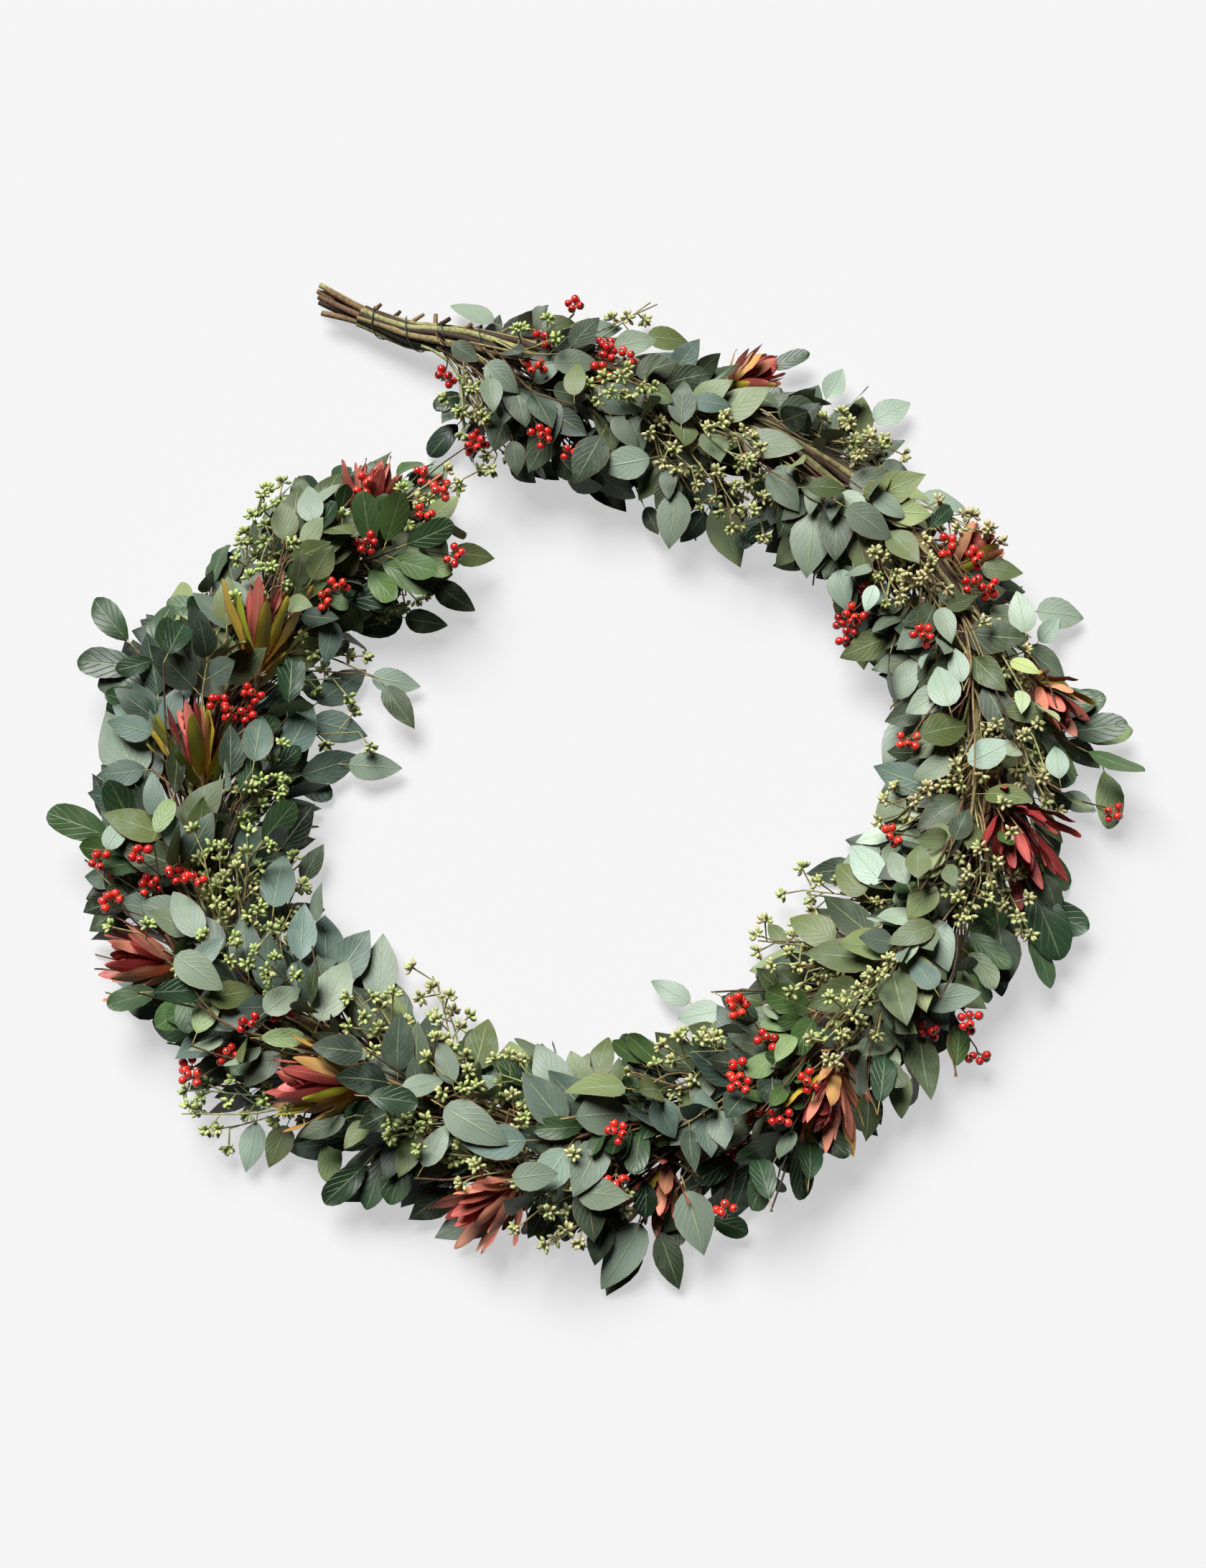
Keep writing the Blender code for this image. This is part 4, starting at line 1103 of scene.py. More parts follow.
# %% [markdown]
# ## Fruit, bloom and bark finishes
# Fresh buds are green and ripe ones pinkish tan. Berries are glossy with a dark spot where the flower was.
# Bracts shade from orange at the foot to red or olive. The colour follows the map's length and the tone of
# each one.

# %% Buds, berries, bracts, bark and wire
def bud_finish():
    finish = Finish("bud", 0.45, specular=0.4)
    along = finish.over_blade()[1]
    fresh = ramp(along, (0.0, (0.22, 0.28, 0.08)), (0.4, (0.28, 0.37, 0.12)), (0.8, (0.45, 0.56, 0.18)),
                 (1.0, (0.60, 0.64, 0.26)))
    ripe = ramp(along, (0.0, (0.36, 0.20, 0.13)), (0.4, (0.46, 0.36, 0.20)), (0.8, (0.66, 0.56, 0.34)),
                (1.0, (0.50, 0.27, 0.20)))
    shade = ramp(finish.hue, (0.0, (0.72, 0.80, 0.72)), (0.6, (1, 1, 1)), (1.0, (1.1, 1.08, 1.0)))
    colour = tinted(mix(finish.tone, fresh, ripe), shade)
    speckle = finish.noise(900, 2)
    return finish.wear(mix(speckle.rise(0.5, 0.8) * 0.25, colour, (0.25, 0.22, 0.10)), speckle, 0.0002)


def berry_finish():
    finish = Finish("berry", 0.2, specular=0.5, coat=0.3)
    along = finish.over_blade()[1]
    skin = ramp(finish.tone, (0.0, (0.30, 0.008, 0.010)), (0.5, (0.60, 0.016, 0.014)),
                (1.0, (0.74, 0.05, 0.025)))
    skin = mix(finish.noise(260, 2).rise(0.4, 0.8) * 0.4, skin, (0.78, 0.06, 0.03))
    skin = mix(along.rise(0.985, 1.0), skin, (0.05, 0.02, 0.01))
    skin = mix(1 - along.rise(0.40, 0.44), skin, (0.24, 0.16, 0.07))
    return finish.wear(skin, finish.noise(500, 2), 0.0001)


def bract_finish():
    """Crimson at tone 0, then pink-red, peach at a half, orange and olive at three quarters, and lime."""
    finish = Finish("conebush_bract", 0.4, specular=0.4)
    across, along, aside, _, stalk = finish.over_blade()
    colour = tinted(ramp(finish.tone, *BRACTS["body"]), ramp(finish.hue, *BRACTS["shade"]))
    colour = mix((1 - along.rise(0.0, 0.45)) * 0.6, colour, ramp(finish.tone, *BRACTS["foot"]))
    colour = mix(along.rise(0.55, 1.0) * 0.6, colour, ramp(finish.tone, *BRACTS["tip"]))
    fibres = finish.fibres(across, along, 5)
    colour = mix(fibres.rise(0.45, 0.75) * 0.45, colour, ramp(finish.tone, *BRACTS["flush"]))
    colour = mix(aside.rise(0.42, 0.49) * 0.75, colour, BRACTS["edge"])
    colour = mix((1 - aside.rise(0.01, 0.05)) * 0.3, colour, BRACTS["midrib"])
    return finish.wear(mix(stalk, colour, BRACTS["foot"][0][1]), fibres, 0.0003)


BRACTS = {
    "body": ((0.0, (0.27, 0.010, 0.018)), (0.25, (0.55, 0.11, 0.095)), (0.5, (0.66, 0.29, 0.18)),
             (0.72, (0.47, 0.33, 0.035)), (1.0, (0.33, 0.42, 0.03))),
    "foot": ((0.0, (0.24, 0.01, 0.02)), (0.35, (0.62, 0.16, 0.10)), (0.7, (0.62, 0.20, 0.04)),
             (1.0, (0.50, 0.36, 0.03))),
    "tip": ((0.0, (0.33, 0.03, 0.035)), (0.35, (0.62, 0.13, 0.12)), (0.7, (0.34, 0.24, 0.03)),
            (1.0, (0.22, 0.29, 0.03))),
    "flush": ((0.0, (0.42, 0.05, 0.045)), (0.5, (0.76, 0.36, 0.22)), (0.75, (0.60, 0.17, 0.04)),
              (1.0, (0.50, 0.46, 0.06))),
    "shade": ((0.0, (0.55, 0.5, 0.5)), (0.5, (0.95, 0.95, 0.95)), (1.0, (1.15, 1.25, 1.2))),
    "edge": (0.36, 0.03, 0.03), "midrib": (0.66, 0.40, 0.18),
}


def bark_finish():
    finish = Finish("bark", 0.7, specular=0.3)
    brown = ramp(finish.tone, (0.0, (0.022, 0.014, 0.010)), (0.35, (0.075, 0.042, 0.025)),
                 (0.6, (0.22, 0.12, 0.06)), (0.8, (0.30, 0.24, 0.10)), (1.0, (0.36, 0.40, 0.16)))
    grain = finish.noise(260, 5)
    fine = finish.noise(1100, 3)
    brown = mix(grain.rise(0.4, 0.75) * 0.6, brown, (0.018, 0.014, 0.010))
    brown = mix(fine.rise(0.66, 0.78) * 0.3, brown, (0.30, 0.24, 0.15))
    return finish.wear(brown, grain + fine * 0.5, 0.0006)


def wire_finish():
    finish = Finish("florist_wire", 0.4, specular=0.5)
    colour = mix(finish.noise(300, 2).rise(0.4, 0.7), finish.noise(30, 1) * 0.02, (0.02, 0.05, 0.025))
    return finish.wear(mix(finish.tone, colour, (0.03, 0.06, 0.035)), finish.noise(800, 2), 0.0001)


FINISHES = {
    "eucalyptus": eucalyptus_finish(), "cotoneaster": cotoneaster_finish(), "bud": bud_finish(),
    "berry": berry_finish(), "bract": bract_finish(), "bark": bark_finish(), "wire": wire_finish(),
}

# %% [markdown]
# ## Fine forms
# A few dozen fine forms are made once, three for each bend that a leaf can have, and placed many times. A
# blade is a thin closed lens: an upper and a lower surface that meet in a sharp edge, folded a little along
# the midrib and waved a little along the edge. It has 72 faces and its stalk ten, few enough to repeat.

# %% Blades
OUTLINES = {  # where a blade is widest, how full its sides and how blunt its ends are, and its stalk in mm
    "eucalyptus": (0.72, 2.0, 0.98, 12), "cotoneaster": (1.22, 2.4, 0.62, 12), "bract": (1.05, 2.6, 0.70, 0),
}
ROWS, COLUMNS = 9, 4
FINE_BLADE = 0.6 * MM


def add_face(form, layer, corners):
    """A face through corners, each with its place on the map, less the ones that fall together."""
    kept = [c for k, c in enumerate(corners) if c[0] not in [d[0] for d in corners[:k]]]
    if len(kept) > 2:
        for loop, (_, place) in zip(form.faces.new([c[0] for c in kept]).loops, kept):
            loop[layer].uv = place


def blade_form(name, kind, length, width, arch, rng):
    """A blade along +Y that faces +Z, with its foot at the origin and its stalk behind it."""
    lean, full, blunt, stalk = OUTLINES[kind]
    lean, blunt = lean * rng.uniform(0.92, 1.1), blunt * rng.uniform(0.85, 1.2)
    fold, wave, turns = rng.uniform(0.02, 0.22), rng.uniform(0.4, 1.6) * MM, rng.uniform(1.0, 2.2)
    twist, sway, phase = rng.uniform(-0.25, 0.25), rng.uniform(-0.06, 0.06), rng.uniform(0, math.tau)
    if arch == 0:
        fold, wave, twist = 0, 0, 0
    form = bmesh.new()
    blade = form.loops.layers.uv.new("blade")

    def corner(i, j, up):
        u, v = 0.5 - 0.5 * math.cos(math.pi * (i / ROWS) ** 0.9), 2 * j / COLUMNS - 1
        aside = 0.5 * (1 - abs(2 * u ** lean - 1) ** full) ** blunt * width * v
        lift = abs(aside) * fold + wave * v * v * math.sin(math.tau * turns * u + phase + v)
        lift += up * FINE_BLADE / 2 * (1 - v * v)
        turn = arch * u if arch else 1e-4 * u
        reach = length / (arch or 1e-4)
        roll = twist * u
        x = aside * math.cos(roll) - lift * math.sin(roll) + sway * length * u * u
        z = aside * math.sin(roll) + lift * math.cos(roll)
        y = math.sin(turn) * reach + z * math.sin(turn)
        return Vector((x, y, z * math.cos(turn) - (1 - math.cos(turn)) * reach))

    made = {}

    def vertex(i, j, up):
        on_edge = i in (0, ROWS) or j in (0, COLUMNS)
        key = (i, COLUMNS // 2 if i in (0, ROWS) else j, 0 if on_edge else up)
        if key not in made:
            made[key] = form.verts.new(corner(*key))
        return made[key]

    for up in (1, -1):
        for i in range(ROWS):
            for j in range(COLUMNS):
                places = [(i, j), (i, j + 1), (i + 1, j + 1), (i + 1, j)]
                places = places if up > 0 else places[:1] + places[:0:-1]
                across = [min(max(b / COLUMNS, 0.001), 0.999) + (up < 0) for _, b in places]
                add_face(form, blade, [(vertex(a, b, up), (x, a / ROWS)) for (a, b), x in zip(places, across)])
    for edge in form.edges:
        ends = [key for key, vert in made.items() if vert in edge.verts]
        edge.smooth = not all(key[2] == 0 for key in ends)
    if stalk:
        round_form(form, blade, ((-stalk * MM, 0.7), (-stalk * MM / 2, 0.6), (1.5 * MM, 0.5)), 4, 2.5)
    return finished_form(name, form)


def round_form(form, layer, profile, sides, across=0.5):
    """A closed turned shape along +Y, from rings of place in metres and radius in mm."""
    rings = []
    for place, radius in profile:
        turns = [math.tau * k / sides for k in range(sides)] if radius else [0]
        reach = radius * MM
        rings.append([form.verts.new((math.cos(t) * reach, place, math.sin(t) * reach)) for t in turns])
    length = profile[-1][0] - profile[0][0]
    shares = [(place - profile[0][0]) / length for place, _ in profile]
    for low, high, a, b in zip(rings, rings[1:], shares, shares[1:]):
        for k in range(sides):
            quad = ((low, k, a), (high, k, b), (high, k + 1, b), (low, k + 1, a))
            add_face(form, layer, [(ring[n % len(ring)], (across, along)) for ring, n, along in quad])
    for ring, along in ((rings[0], 0), (rings[-1][::-1], 1)):
        add_face(form, layer, [(vert, (across, along)) for vert in ring])


def finished_form(name, form):
    bmesh.ops.recalc_face_normals(form, faces=form.faces)
    for face in form.faces:
        face.smooth = True
    mesh = bpy.data.meshes.new(name)
    form.to_mesh(mesh)
    form.free()
    return bpy.data.objects.new(name, mesh)


# %% Buds and berries
BUD_PROFILE = ((0, 0.45), (2.4, 0.65), (4.0, 1.6), (6.2, 2.15), (8.2, 1.45), (9.9, 0))
BERRY_STALK = ((-2.0, 0.45), (4.0, 0.5), (4.6, 0.6))
BERRY_MIDDLE, BERRY_RADIUS = 8.2, 3.75
CALYX = ((11.85, 0.75), (11.5, 0))


def fruit_form(name, profile, sides):
    form = bmesh.new()
    layer = form.loops.layers.uv.new("blade")
    round_form(form, layer, [(place * MM, radius) for place, radius in profile], sides)
    return finished_form(name, form)


def berry_profile():
    ball = []
    for k in range(1, 6):
        turn = math.pi * k / 6.4
        ball.append((BERRY_MIDDLE - BERRY_RADIUS * math.cos(turn), BERRY_RADIUS * math.sin(turn)))
    return (*BERRY_STALK, *ball, *CALYX)


# %% [markdown]
# ## A library of forms
# The rough leaves have one of four bends, or lie flat on the table. A geometry node picks a form by its
# number in the collection, which is sorted by name, so the numbers are read back after all the forms are
# there.

# %% Fill the library
FORMS_EACH = 3
library = bpy.data.collections.new("fine_forms")
bpy.context.scene.collection.children.link(library)
form_rng = random.Random(SEED)
FORM_ARCHES = {"eucalyptus": (*ARCHES, 0), "cotoneaster": ARCHES, "bract": (BRACT_ARCH, -0.7)}
FORM_SIZES = {**LEAF_SIZE, "bract": (80 * MM, BRACT_WIDTH)}
for kind, arches in FORM_ARCHES.items():
    for place, arch in enumerate(arches):
        for k in range(FORMS_EACH):
            name = f"{kind}_{place}_{k}"
            library.objects.link(blade_form(name, kind, *FORM_SIZES[kind], arch, form_rng))
library.objects.link(fruit_form("bud", BUD_PROFILE, 5))
library.objects.link(fruit_form("berry", berry_profile(), 8))
NUMBER = {name: k for k, name in enumerate(sorted(obj.name for obj in library.objects))}
CORNERS = {obj.name: [vert.co.copy() for vert in obj.data.vertices] for obj in library.objects}
LOW = 60 * MM  # under this height a form might dip into the table

# %% [markdown]
# ## One tree for every piece
# A piece goes into Geometry Nodes as a mesh of bare points and edges. The edges are stems and become tubes,
# with the radius that each point carries. The lone points are seats for leaves or fruit, and carry the number
# of their form, its turn, size and tone. The same tree makes every piece.

# %% The growing tree
CARRIED = {  # what each point of a skeleton carries, with its type and usual value
    "thick": ("FLOAT", 0.0), "tone": ("FLOAT", 0.5), "hue": ("FLOAT", 0.5), "form": ("INT", -1),
    "turn": ("QUATERNION", (1, 0, 0, 0)), "size": ("FLOAT_VECTOR", (1, 1, 1)),
}


def growing_tree():
    tree = bpy.data.node_groups.new("grow_greenery", "GeometryNodeTree")
    for name, kind in (("Skeleton", "Geometry"), ("Forms", "Collection"), ("Blade finish", "Material"),
                       ("Bark finish", "Material"), ("Stem sides", "Int")):
        tree.interface.new_socket(name, in_out="INPUT", socket_type="NodeSocket" + kind)
    tree.interface.new_socket("Greenery", in_out="OUTPUT", socket_type="NodeSocketGeometry")
    given = tree.nodes.new("NodeGroupInput").outputs[:5]
    skeleton, forms, blade, bark, sides = (Signal(tree, socket) for socket in given)

    def node(kind, settings=(), output=0, **values):
        return Signal.made(tree, kind, settings, {k.replace("_", " "): v for k, v in values.items()}, output)

    def carried(name):
        return node("GeometryNodeInputNamedAttribute", {"data_type": CARRIED[name][0]}, Name=name)

    seated = Signal.made(tree, "FunctionNodeCompare", {"data_type": "INT", "operation": "GREATER_EQUAL"},
                         {2: carried("form")})
    parts = [node("GeometryNodeSeparateGeometry", output=k, Geometry=skeleton, Selection=seated)
             for k in (0, 1)]
    curves = node("GeometryNodeMeshToCurve", Mesh=parts[1])
    ring = node("GeometryNodeCurvePrimitiveCircle", Resolution=sides, Radius=1.0)
    tubes = node("GeometryNodeCurveToMesh", Curve=curves, Profile_Curve=ring, Scale=carried("thick"),
                 Fill_Caps=True)
    tubes = node("GeometryNodeSetShadeSmooth", Geometry=tubes)
    forms = node("GeometryNodeCollectionInfo", Collection=forms, Separate_Children=True, Reset_Children=True)
    placed = node("GeometryNodeInstanceOnPoints", Points=parts[0], Instance=forms, Pick_Instance=True,
                  Instance_Index=carried("form"), Rotation=carried("turn"), Scale=carried("size"))
    placed = node("GeometryNodeRealizeInstances", Geometry=placed)
    both = tree.nodes.new("GeometryNodeJoinGeometry")
    for part, finish in ((tubes, bark), (placed, blade)):
        part = node("GeometryNodeSetMaterial", Geometry=part, Material=finish)
        tree.links.new(part.socket, both.inputs[0])
    tree.links.new(both.outputs[0], tree.nodes.new("NodeGroupOutput").inputs[0])
    return tree


GROWING = growing_tree()
INPUTS = {item.name: item.identifier for item in GROWING.interface.items_tree if item.in_out == "INPUT"}


# %% From a skeleton to a plain mesh
class Skeleton:
    """The points, edges and seats that a piece is grown from."""

    def __init__(self):
        self.points, self.edges = [], []
        self.carried = {name: [] for name in CARRIED}

    def point(self, place, **values):
        self.points.append(place + TO_FRAME)
        for name, (_, usual) in CARRIED.items():
            self.carried[name].append(values.get(name, usual))

    def stem(self, points, radii, tone=0.4):
        first = len(self.points)
        for place, radius in zip(points, radii):
            self.point(place, thick=radius, tone=tone)
        self.edges += [(k, k + 1) for k in range(first, len(self.points) - 1)]

    def seat(self, form, place, ahead, face, size, tone, hue):
        """A form with its +Y ahead and its +Z along face, lifted where it would dip into the table."""
        ahead = ahead.normalized()
        side = ahead.cross(face).normalized()
        turn = Matrix((side, ahead, side.cross(ahead))).transposed()
        if place.z < LOW:
            lowest = min((turn @ (corner * Vector(size))).z for corner in CORNERS[form])
            place = place + UP * max(0, -place.z - lowest)
        self.point(place, tone=tone, hue=hue, form=NUMBER[form], turn=tuple(turn.to_quaternion()), size=size)

    def mesh(self, name):
        mesh = bpy.data.meshes.new(name)
        mesh.from_pydata(self.points, self.edges, [])
        for key, (kind, _) in CARRIED.items():
            layer = mesh.attributes.new(key, kind, "POINT")
            values = np.array(self.carried[key]).ravel()
            layer.data.foreach_set("vector" if key == "size" else "value", values)
        return mesh


def in_scene(name, data):
    """A new object, put in the scene."""
    made = bpy.data.objects.new(name, data)
    bpy.context.scene.collection.objects.link(made)
    return made


def grown(name, skeleton, blade, bark="bark", sides=6):
    """The plain mesh object that the tree grows from a skeleton, riding on the frame."""
    seed = in_scene(name + "_skeleton", skeleton.mesh(name + "_skeleton"))
    modifier = seed.modifiers.new("grow", "NODES")
    modifier.node_group = GROWING
    values = {"Forms": library, "Blade finish": FINISHES[blade], "Bark finish": FINISHES[bark],
              "Stem sides": sides}
    for key, value in values.items():
        modifier[INPUTS[key]] = value
    graph = bpy.context.evaluated_depsgraph_get()
    mesh = bpy.data.meshes.new_from_object(seed.evaluated_get(graph))
    mesh.name = name
    bpy.data.objects.remove(seed)
    piece = in_scene(name, mesh)
    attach(piece, "root")
    return piece


# %% [markdown]
# ## Fine pieces in the CAD's places
# Every rough leaf, bud and berry gives a seat for a fine form, and every stem a round tube that starts inside
# what carries it.

# %% From rough parts to seats
tone_rng = random.Random(SEED + 1)
SINK = 4 * MM  # how far a stem starts inside what carries it


def smooth(points, radii, steps=3):
    """More points on the same bend, so that a stem has no corners."""
    line = Line([Vector((*p, r)) for p, r in zip(points, radii)])
    places = [line.points[k] for k in range(0, len(line.points), Line.STEPS // steps)]
    if (places[-1] - line.points[-1]).length > 0:
        places.append(line.points[-1])
    return [p.to_3d() for p in places], [p.w for p in places]


def add_leaf(skeleton, leaf, tone, hue):
    arches = FORM_ARCHES[leaf.kind]
    place = min(range(len(arches)), key=lambda k: abs(arches[k] - leaf.arch))
    length, width = FORM_SIZES[leaf.kind]
    size = (leaf.width / width, leaf.length / length, leaf.length / length)
    form = f"{leaf.kind}_{place}_{tone_rng.randrange(FORMS_EACH)}"
    skeleton.seat(form, leaf.base, leaf.ahead, leaf.face, size, tone, hue)


def add_stem(skeleton, stem, tone):
    start = stem.points[0] - (stem.points[1] - stem.points[0]).normalized() * SINK
    skeleton.stem(*smooth([start, *stem.points[1:]], stem.radii), tone)


def add_cluster(skeleton, cluster, tone, twig_tone):
    """Fruit on the stalks of a rough cluster. An umbel of buds is finer and has a few more."""
    skeleton.stem([cluster.root, cluster.centre + cluster.axis * 2 * MM], [0.6 * MM, 0.8 * MM], twig_tone)
    ways, scale = [way for way in cluster.ways() if way], 1.0
    if cluster.kind == "bud":
        scale = BUD_SCALE
        for _ in range(BUDS_ADDED):
            aside = Vector([tone_rng.uniform(-1, 1) for _ in range(3)])
            ways.append((cluster.axis * 0.7 + aside).normalized())
    for way in ways:
        size = tone_rng.uniform(0.92, 1.06) * scale
        shade = min(max(tone + tone_rng.uniform(-0.25, 0.25), 0), 1)
        place = cluster.centre + cluster.axis * MM
        skeleton.seat(cluster.kind, place, way, way.orthogonal(), (size,) * 3, shade, tone_rng.random())


BUD_SCALE, BUDS_ADDED = 0.86, 4
SLIM_BRACT, INNER_TONES = 0.86, (0.05, 0.3)
BLOOM_WHORLS = (  # bracts, height on the hub in mm, lean, share of the bloom's length, width in mm, tone
    (4, 12, 0.05, 0.50, 12, 0.12), (5, 10, 0.16, 0.60, 12, 0.22), (4, 6, 0.38, 0.76, 11, 0.36),
    (4, 0, 0.66, 0.82, 10, None), (5, -8, 0.95, 0.72, 9, None), (3, -20, 1.0, 0.60, 9, None),
)
BLOOM_TONES = {  # tones of the outer bracts
    "bloom_01": (0.68, 1.0), "bloom_02": (0.62, 1.0), "bloom_03": (0.18, 0.5), "bloom_04": (0.55, 0.95),
    "bloom_05": (0.28, 0.6), "bloom_06": (0.4, 0.85), "bloom_07": (0.0, 0.12), "bloom_08": (0.2, 0.55),
}


def add_bloom(skeleton, head, tones):
    hub = [head.base + head.axis * place * MM for place in (-24, -4, 6, 14)]
    skeleton.stem(hub, [2.2 * MM, 4.0 * MM, 6.0 * MM, 3.0 * MM], 0.7)
    for (whorl, _), bract in head.bracts.items():
        bract.width *= SLIM_BRACT
        add_leaf(skeleton, bract, tone_rng.uniform(*(INNER_TONES if whorl else tones)), tone_rng.random())
    for count, height, lean, share, width, tone in BLOOM_WHORLS:
        for k in range(count):
            aside = head.aside((k + 0.1 * height + tone_rng.uniform(-0.2, 0.2)) * Bloom.SIDES / count)
            tilt = lean * tone_rng.uniform(0.8, 1.2)
            ahead = head.axis * math.cos(tilt) + aside * math.sin(tilt)
            face = head.axis * math.sin(tilt) - aside * math.cos(tilt)
            root = head.base + head.axis * height * MM + aside * 3.5 * MM
            length = head.size * share * tone_rng.uniform(0.85, 1.1)
            width_here = width * tone_rng.uniform(0.85, 1.1) * MM
            arch = FORM_ARCHES["bract"][lean < 0.3]
            bract = Leaf("bract", root, root, ahead, face, length, width_here, arch)
            low, high = tones if tone is None else (min(tone, tones[1]) + shift for shift in (-0.1, 0.1))
            shade = tone_rng.uniform(low, high)
            add_leaf(skeleton, bract, min(max(shade, 0), 1), tone_rng.random())


# %% Replace every bunch of the CAD
KINDS = {  # finish, slot, tones of the twigs, and how many pieces of it are added
    "berries": ("berry", "berries", (0.2, 0.7), 2), "bloom": ("bract", "conebush", (0.2, 0.5), 1),
    "buds": ("bud", "buds", (0.7, 1.0), 6), "cotoneaster": ("cotoneaster", "cotoneaster_leaf", (0.1, 0.6), 3),
    "eucalyptus": ("eucalyptus", "eucalyptus_leaf", (0.3, 0.9), 8),
}


def add_pieces(skeleton, pieces, tone, hue, twig_tone, node=None):
    for piece in pieces:
        if isinstance(piece, Stem):
            add_stem(skeleton, piece, twig_tone)
        elif isinstance(piece, Cluster):
            add_cluster(skeleton, piece, tone, twig_tone)
        elif isinstance(piece, Bloom):
            add_bloom(skeleton, piece, BLOOM_TONES.get(node, (0.2, 0.9)))
        elif isinstance(piece, Leaf) and piece.kind != "bract":
            spread = getattr(piece, "spread", 0.2)
            shades = [min(max(value + tone_rng.uniform(-spread, spread), 0), 1) for value in (tone, hue)]
            add_leaf(skeleton, piece, *shades)


for node, pieces in garland.pieces.items():
    kind = node.rsplit("_", 1)[0]
    if kind in KINDS:
        finish, slot, twig_tones, _ = KINDS[kind]
        skeleton = Skeleton()
        tones = tone_rng.uniform(0.15, 0.6), tone_rng.random(), tone_rng.uniform(*twig_tones)
        add_pieces(skeleton, pieces, *tones, node)
        piece = grown("fine_" + node, skeleton, finish)
        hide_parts(node)

# %% [markdown]
# ## The stem bundle
# The CAD has one knobbly rope. Here thirteen stems lie side by side and twist slowly round each other, each
# on its own small circle inside the rope, with a swelling every few centimetres where a leaf once grew.

# %% Stems in the bundle
STRAND_TONES = (0.1, 0.9, 0.15, 0.75, 0.0, 0.95, 0.1, 0.55, 0.8, 0.05, 0.35, 0.85, 0.2)
STRAND_STEP = 9 * MM
DRAWN_IN = 0.9
STUBS = 6


def bundle_piece():
    """Long stems side by side, the cut ends of the CAD's, and short stubs on the bare part."""
    rng, skeleton, line = random.Random(SEED + 2), Skeleton(), garland.bundle
    up_and_back = (UP + Vector((0, 0.5, 0))).normalized()
    for k, tone in enumerate(STRAND_TONES):
        ring = 0.0 if k == 0 else rng.uniform(0.64, 0.76)
        turn, twist = math.tau * k / (len(STRAND_TONES) - 1), rng.uniform(1.6, 3.0)
        knots = rng.uniform(28, 42) * MM
        points, radii, s = [], [], 0.0
        across = line.along(0).orthogonal().normalized()
        while s < line.length - 4 * MM:
            middle, ahead = garland.in_bundle(s), line.along(s)
            across = (across - ahead * across.dot(ahead)).normalized()
            way = Matrix.Rotation(turn + twist * s + 0.25 * math.sin(s * 40 + k), 3, ahead) @ across
            points.append(middle.to_3d() + way * middle.w * ring)
            swell = 1 + 0.18 * max(0, math.cos(math.tau * s / knots)) ** 8
            radii.append(middle.w * (0.235 if ring else 0.58) * swell)
            s += STRAND_STEP
        skeleton.stem(points, radii, tone)
    for verts, _ in garland.pieces["stem_bundle"][1:]:
        rings = [verts[5 * k:5 * k + 5] for k in range(3)]
        middles = [sum(ring, Vector()) / len(ring) for ring in rings]
        radius = (rings[1][0] - middles[1]).length
        skeleton.stem(*smooth(middles, [radius * 0.8, radius * 0.9, radius * 0.75]), rng.uniform(0.0, 0.9))
    for k in range(STUBS):
        s = (14 + 96 * k / STUBS + rng.uniform(-7, 7)) * MM
        middle, ahead = garland.in_bundle(s), line.along(s)
        way = Matrix.Rotation(rng.uniform(-1.3, 1.3), 3, ahead) @ up_and_back
        foot = middle.to_3d() + way * middle.w * 0.8
        tip = foot + (way + ahead * rng.uniform(-0.6, 1.6)).normalized() * rng.uniform(5, 15) * MM
        skeleton.stem([foot, tip], [2.2 * MM, rng.uniform(1.3, 2.0) * MM], rng.uniform(0.1, 0.95))
    return grown("fine_stem_bundle", skeleton, "eucalyptus", sides=8)


stems = bundle_piece()
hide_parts("stem_bundle")


def wire_piece():
    """The CAD's wire, drawn in until it lies on the stems."""
    skeleton, points = Skeleton(), []
    verts, _ = garland.pieces["binding_wire"][0]
    for k, s in enumerate(wire_places(garland.bundle)):
        points.append(garland.in_bundle(s).to_3d().lerp(sum(verts[3 * k:3 * k + 3], Vector()) / 3, DRAWN_IN))
    skeleton.stem(*smooth(points, [WIRE] * len(points), 2), 0.5)
    return grown("fine_binding_wire", skeleton, "eucalyptus", bark="wire", sides=5)


wire = wire_piece()
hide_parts("binding_wire")
print("bundle:", len(stems.data.polygons), "faces, wire:", len(wire.data.polygons))


# %% [markdown]
# ## More greenery between the bunches
# More sprigs are bound on every few centimetres, from the top of the mound outwards, each tried against all
# that stands already. What grows where follows the photograph: dark cotoneaster at the bottom and at the tip,
# small pale eucalyptus along the right and large blue-green leaves along the left.

# %% What grows where
COTONEASTER, DARKEST, PALEST, SIZE, RIPE, YELLOW = range(1, 7)
REGIONS = (  # share of the length, then cotoneaster's share, tones, size, ripe buds and yellow in the leaves
    (0.00, 0.20, 0.10, 0.50, 0.86, 0.2, 0.5), (0.12, 0.12, 0.15, 0.60, 0.90, 0.5, 0.5),
    (0.25, 0.05, 0.30, 0.90, 0.86, 0.75, 0.6), (0.45, 0.08, 0.30, 0.85, 0.86, 0.4, 0.6),
    (0.56, 0.45, 0.15, 0.60, 0.84, 0.4, 0.7), (0.64, 0.20, 0.20, 0.70, 0.90, 0.3, 0.5),
    (0.75, 0.12, 0.20, 0.60, 1.00, 0.2, 0.35), (0.88, 0.12, 0.20, 0.50, 1.08, 0.1, 0.2),
    (0.95, 0.50, 0.25, 0.65, 0.90, 0.1, 0.5), (1.00, 0.60, 0.35, 0.75, 0.80, 0.1, 0.6),
)
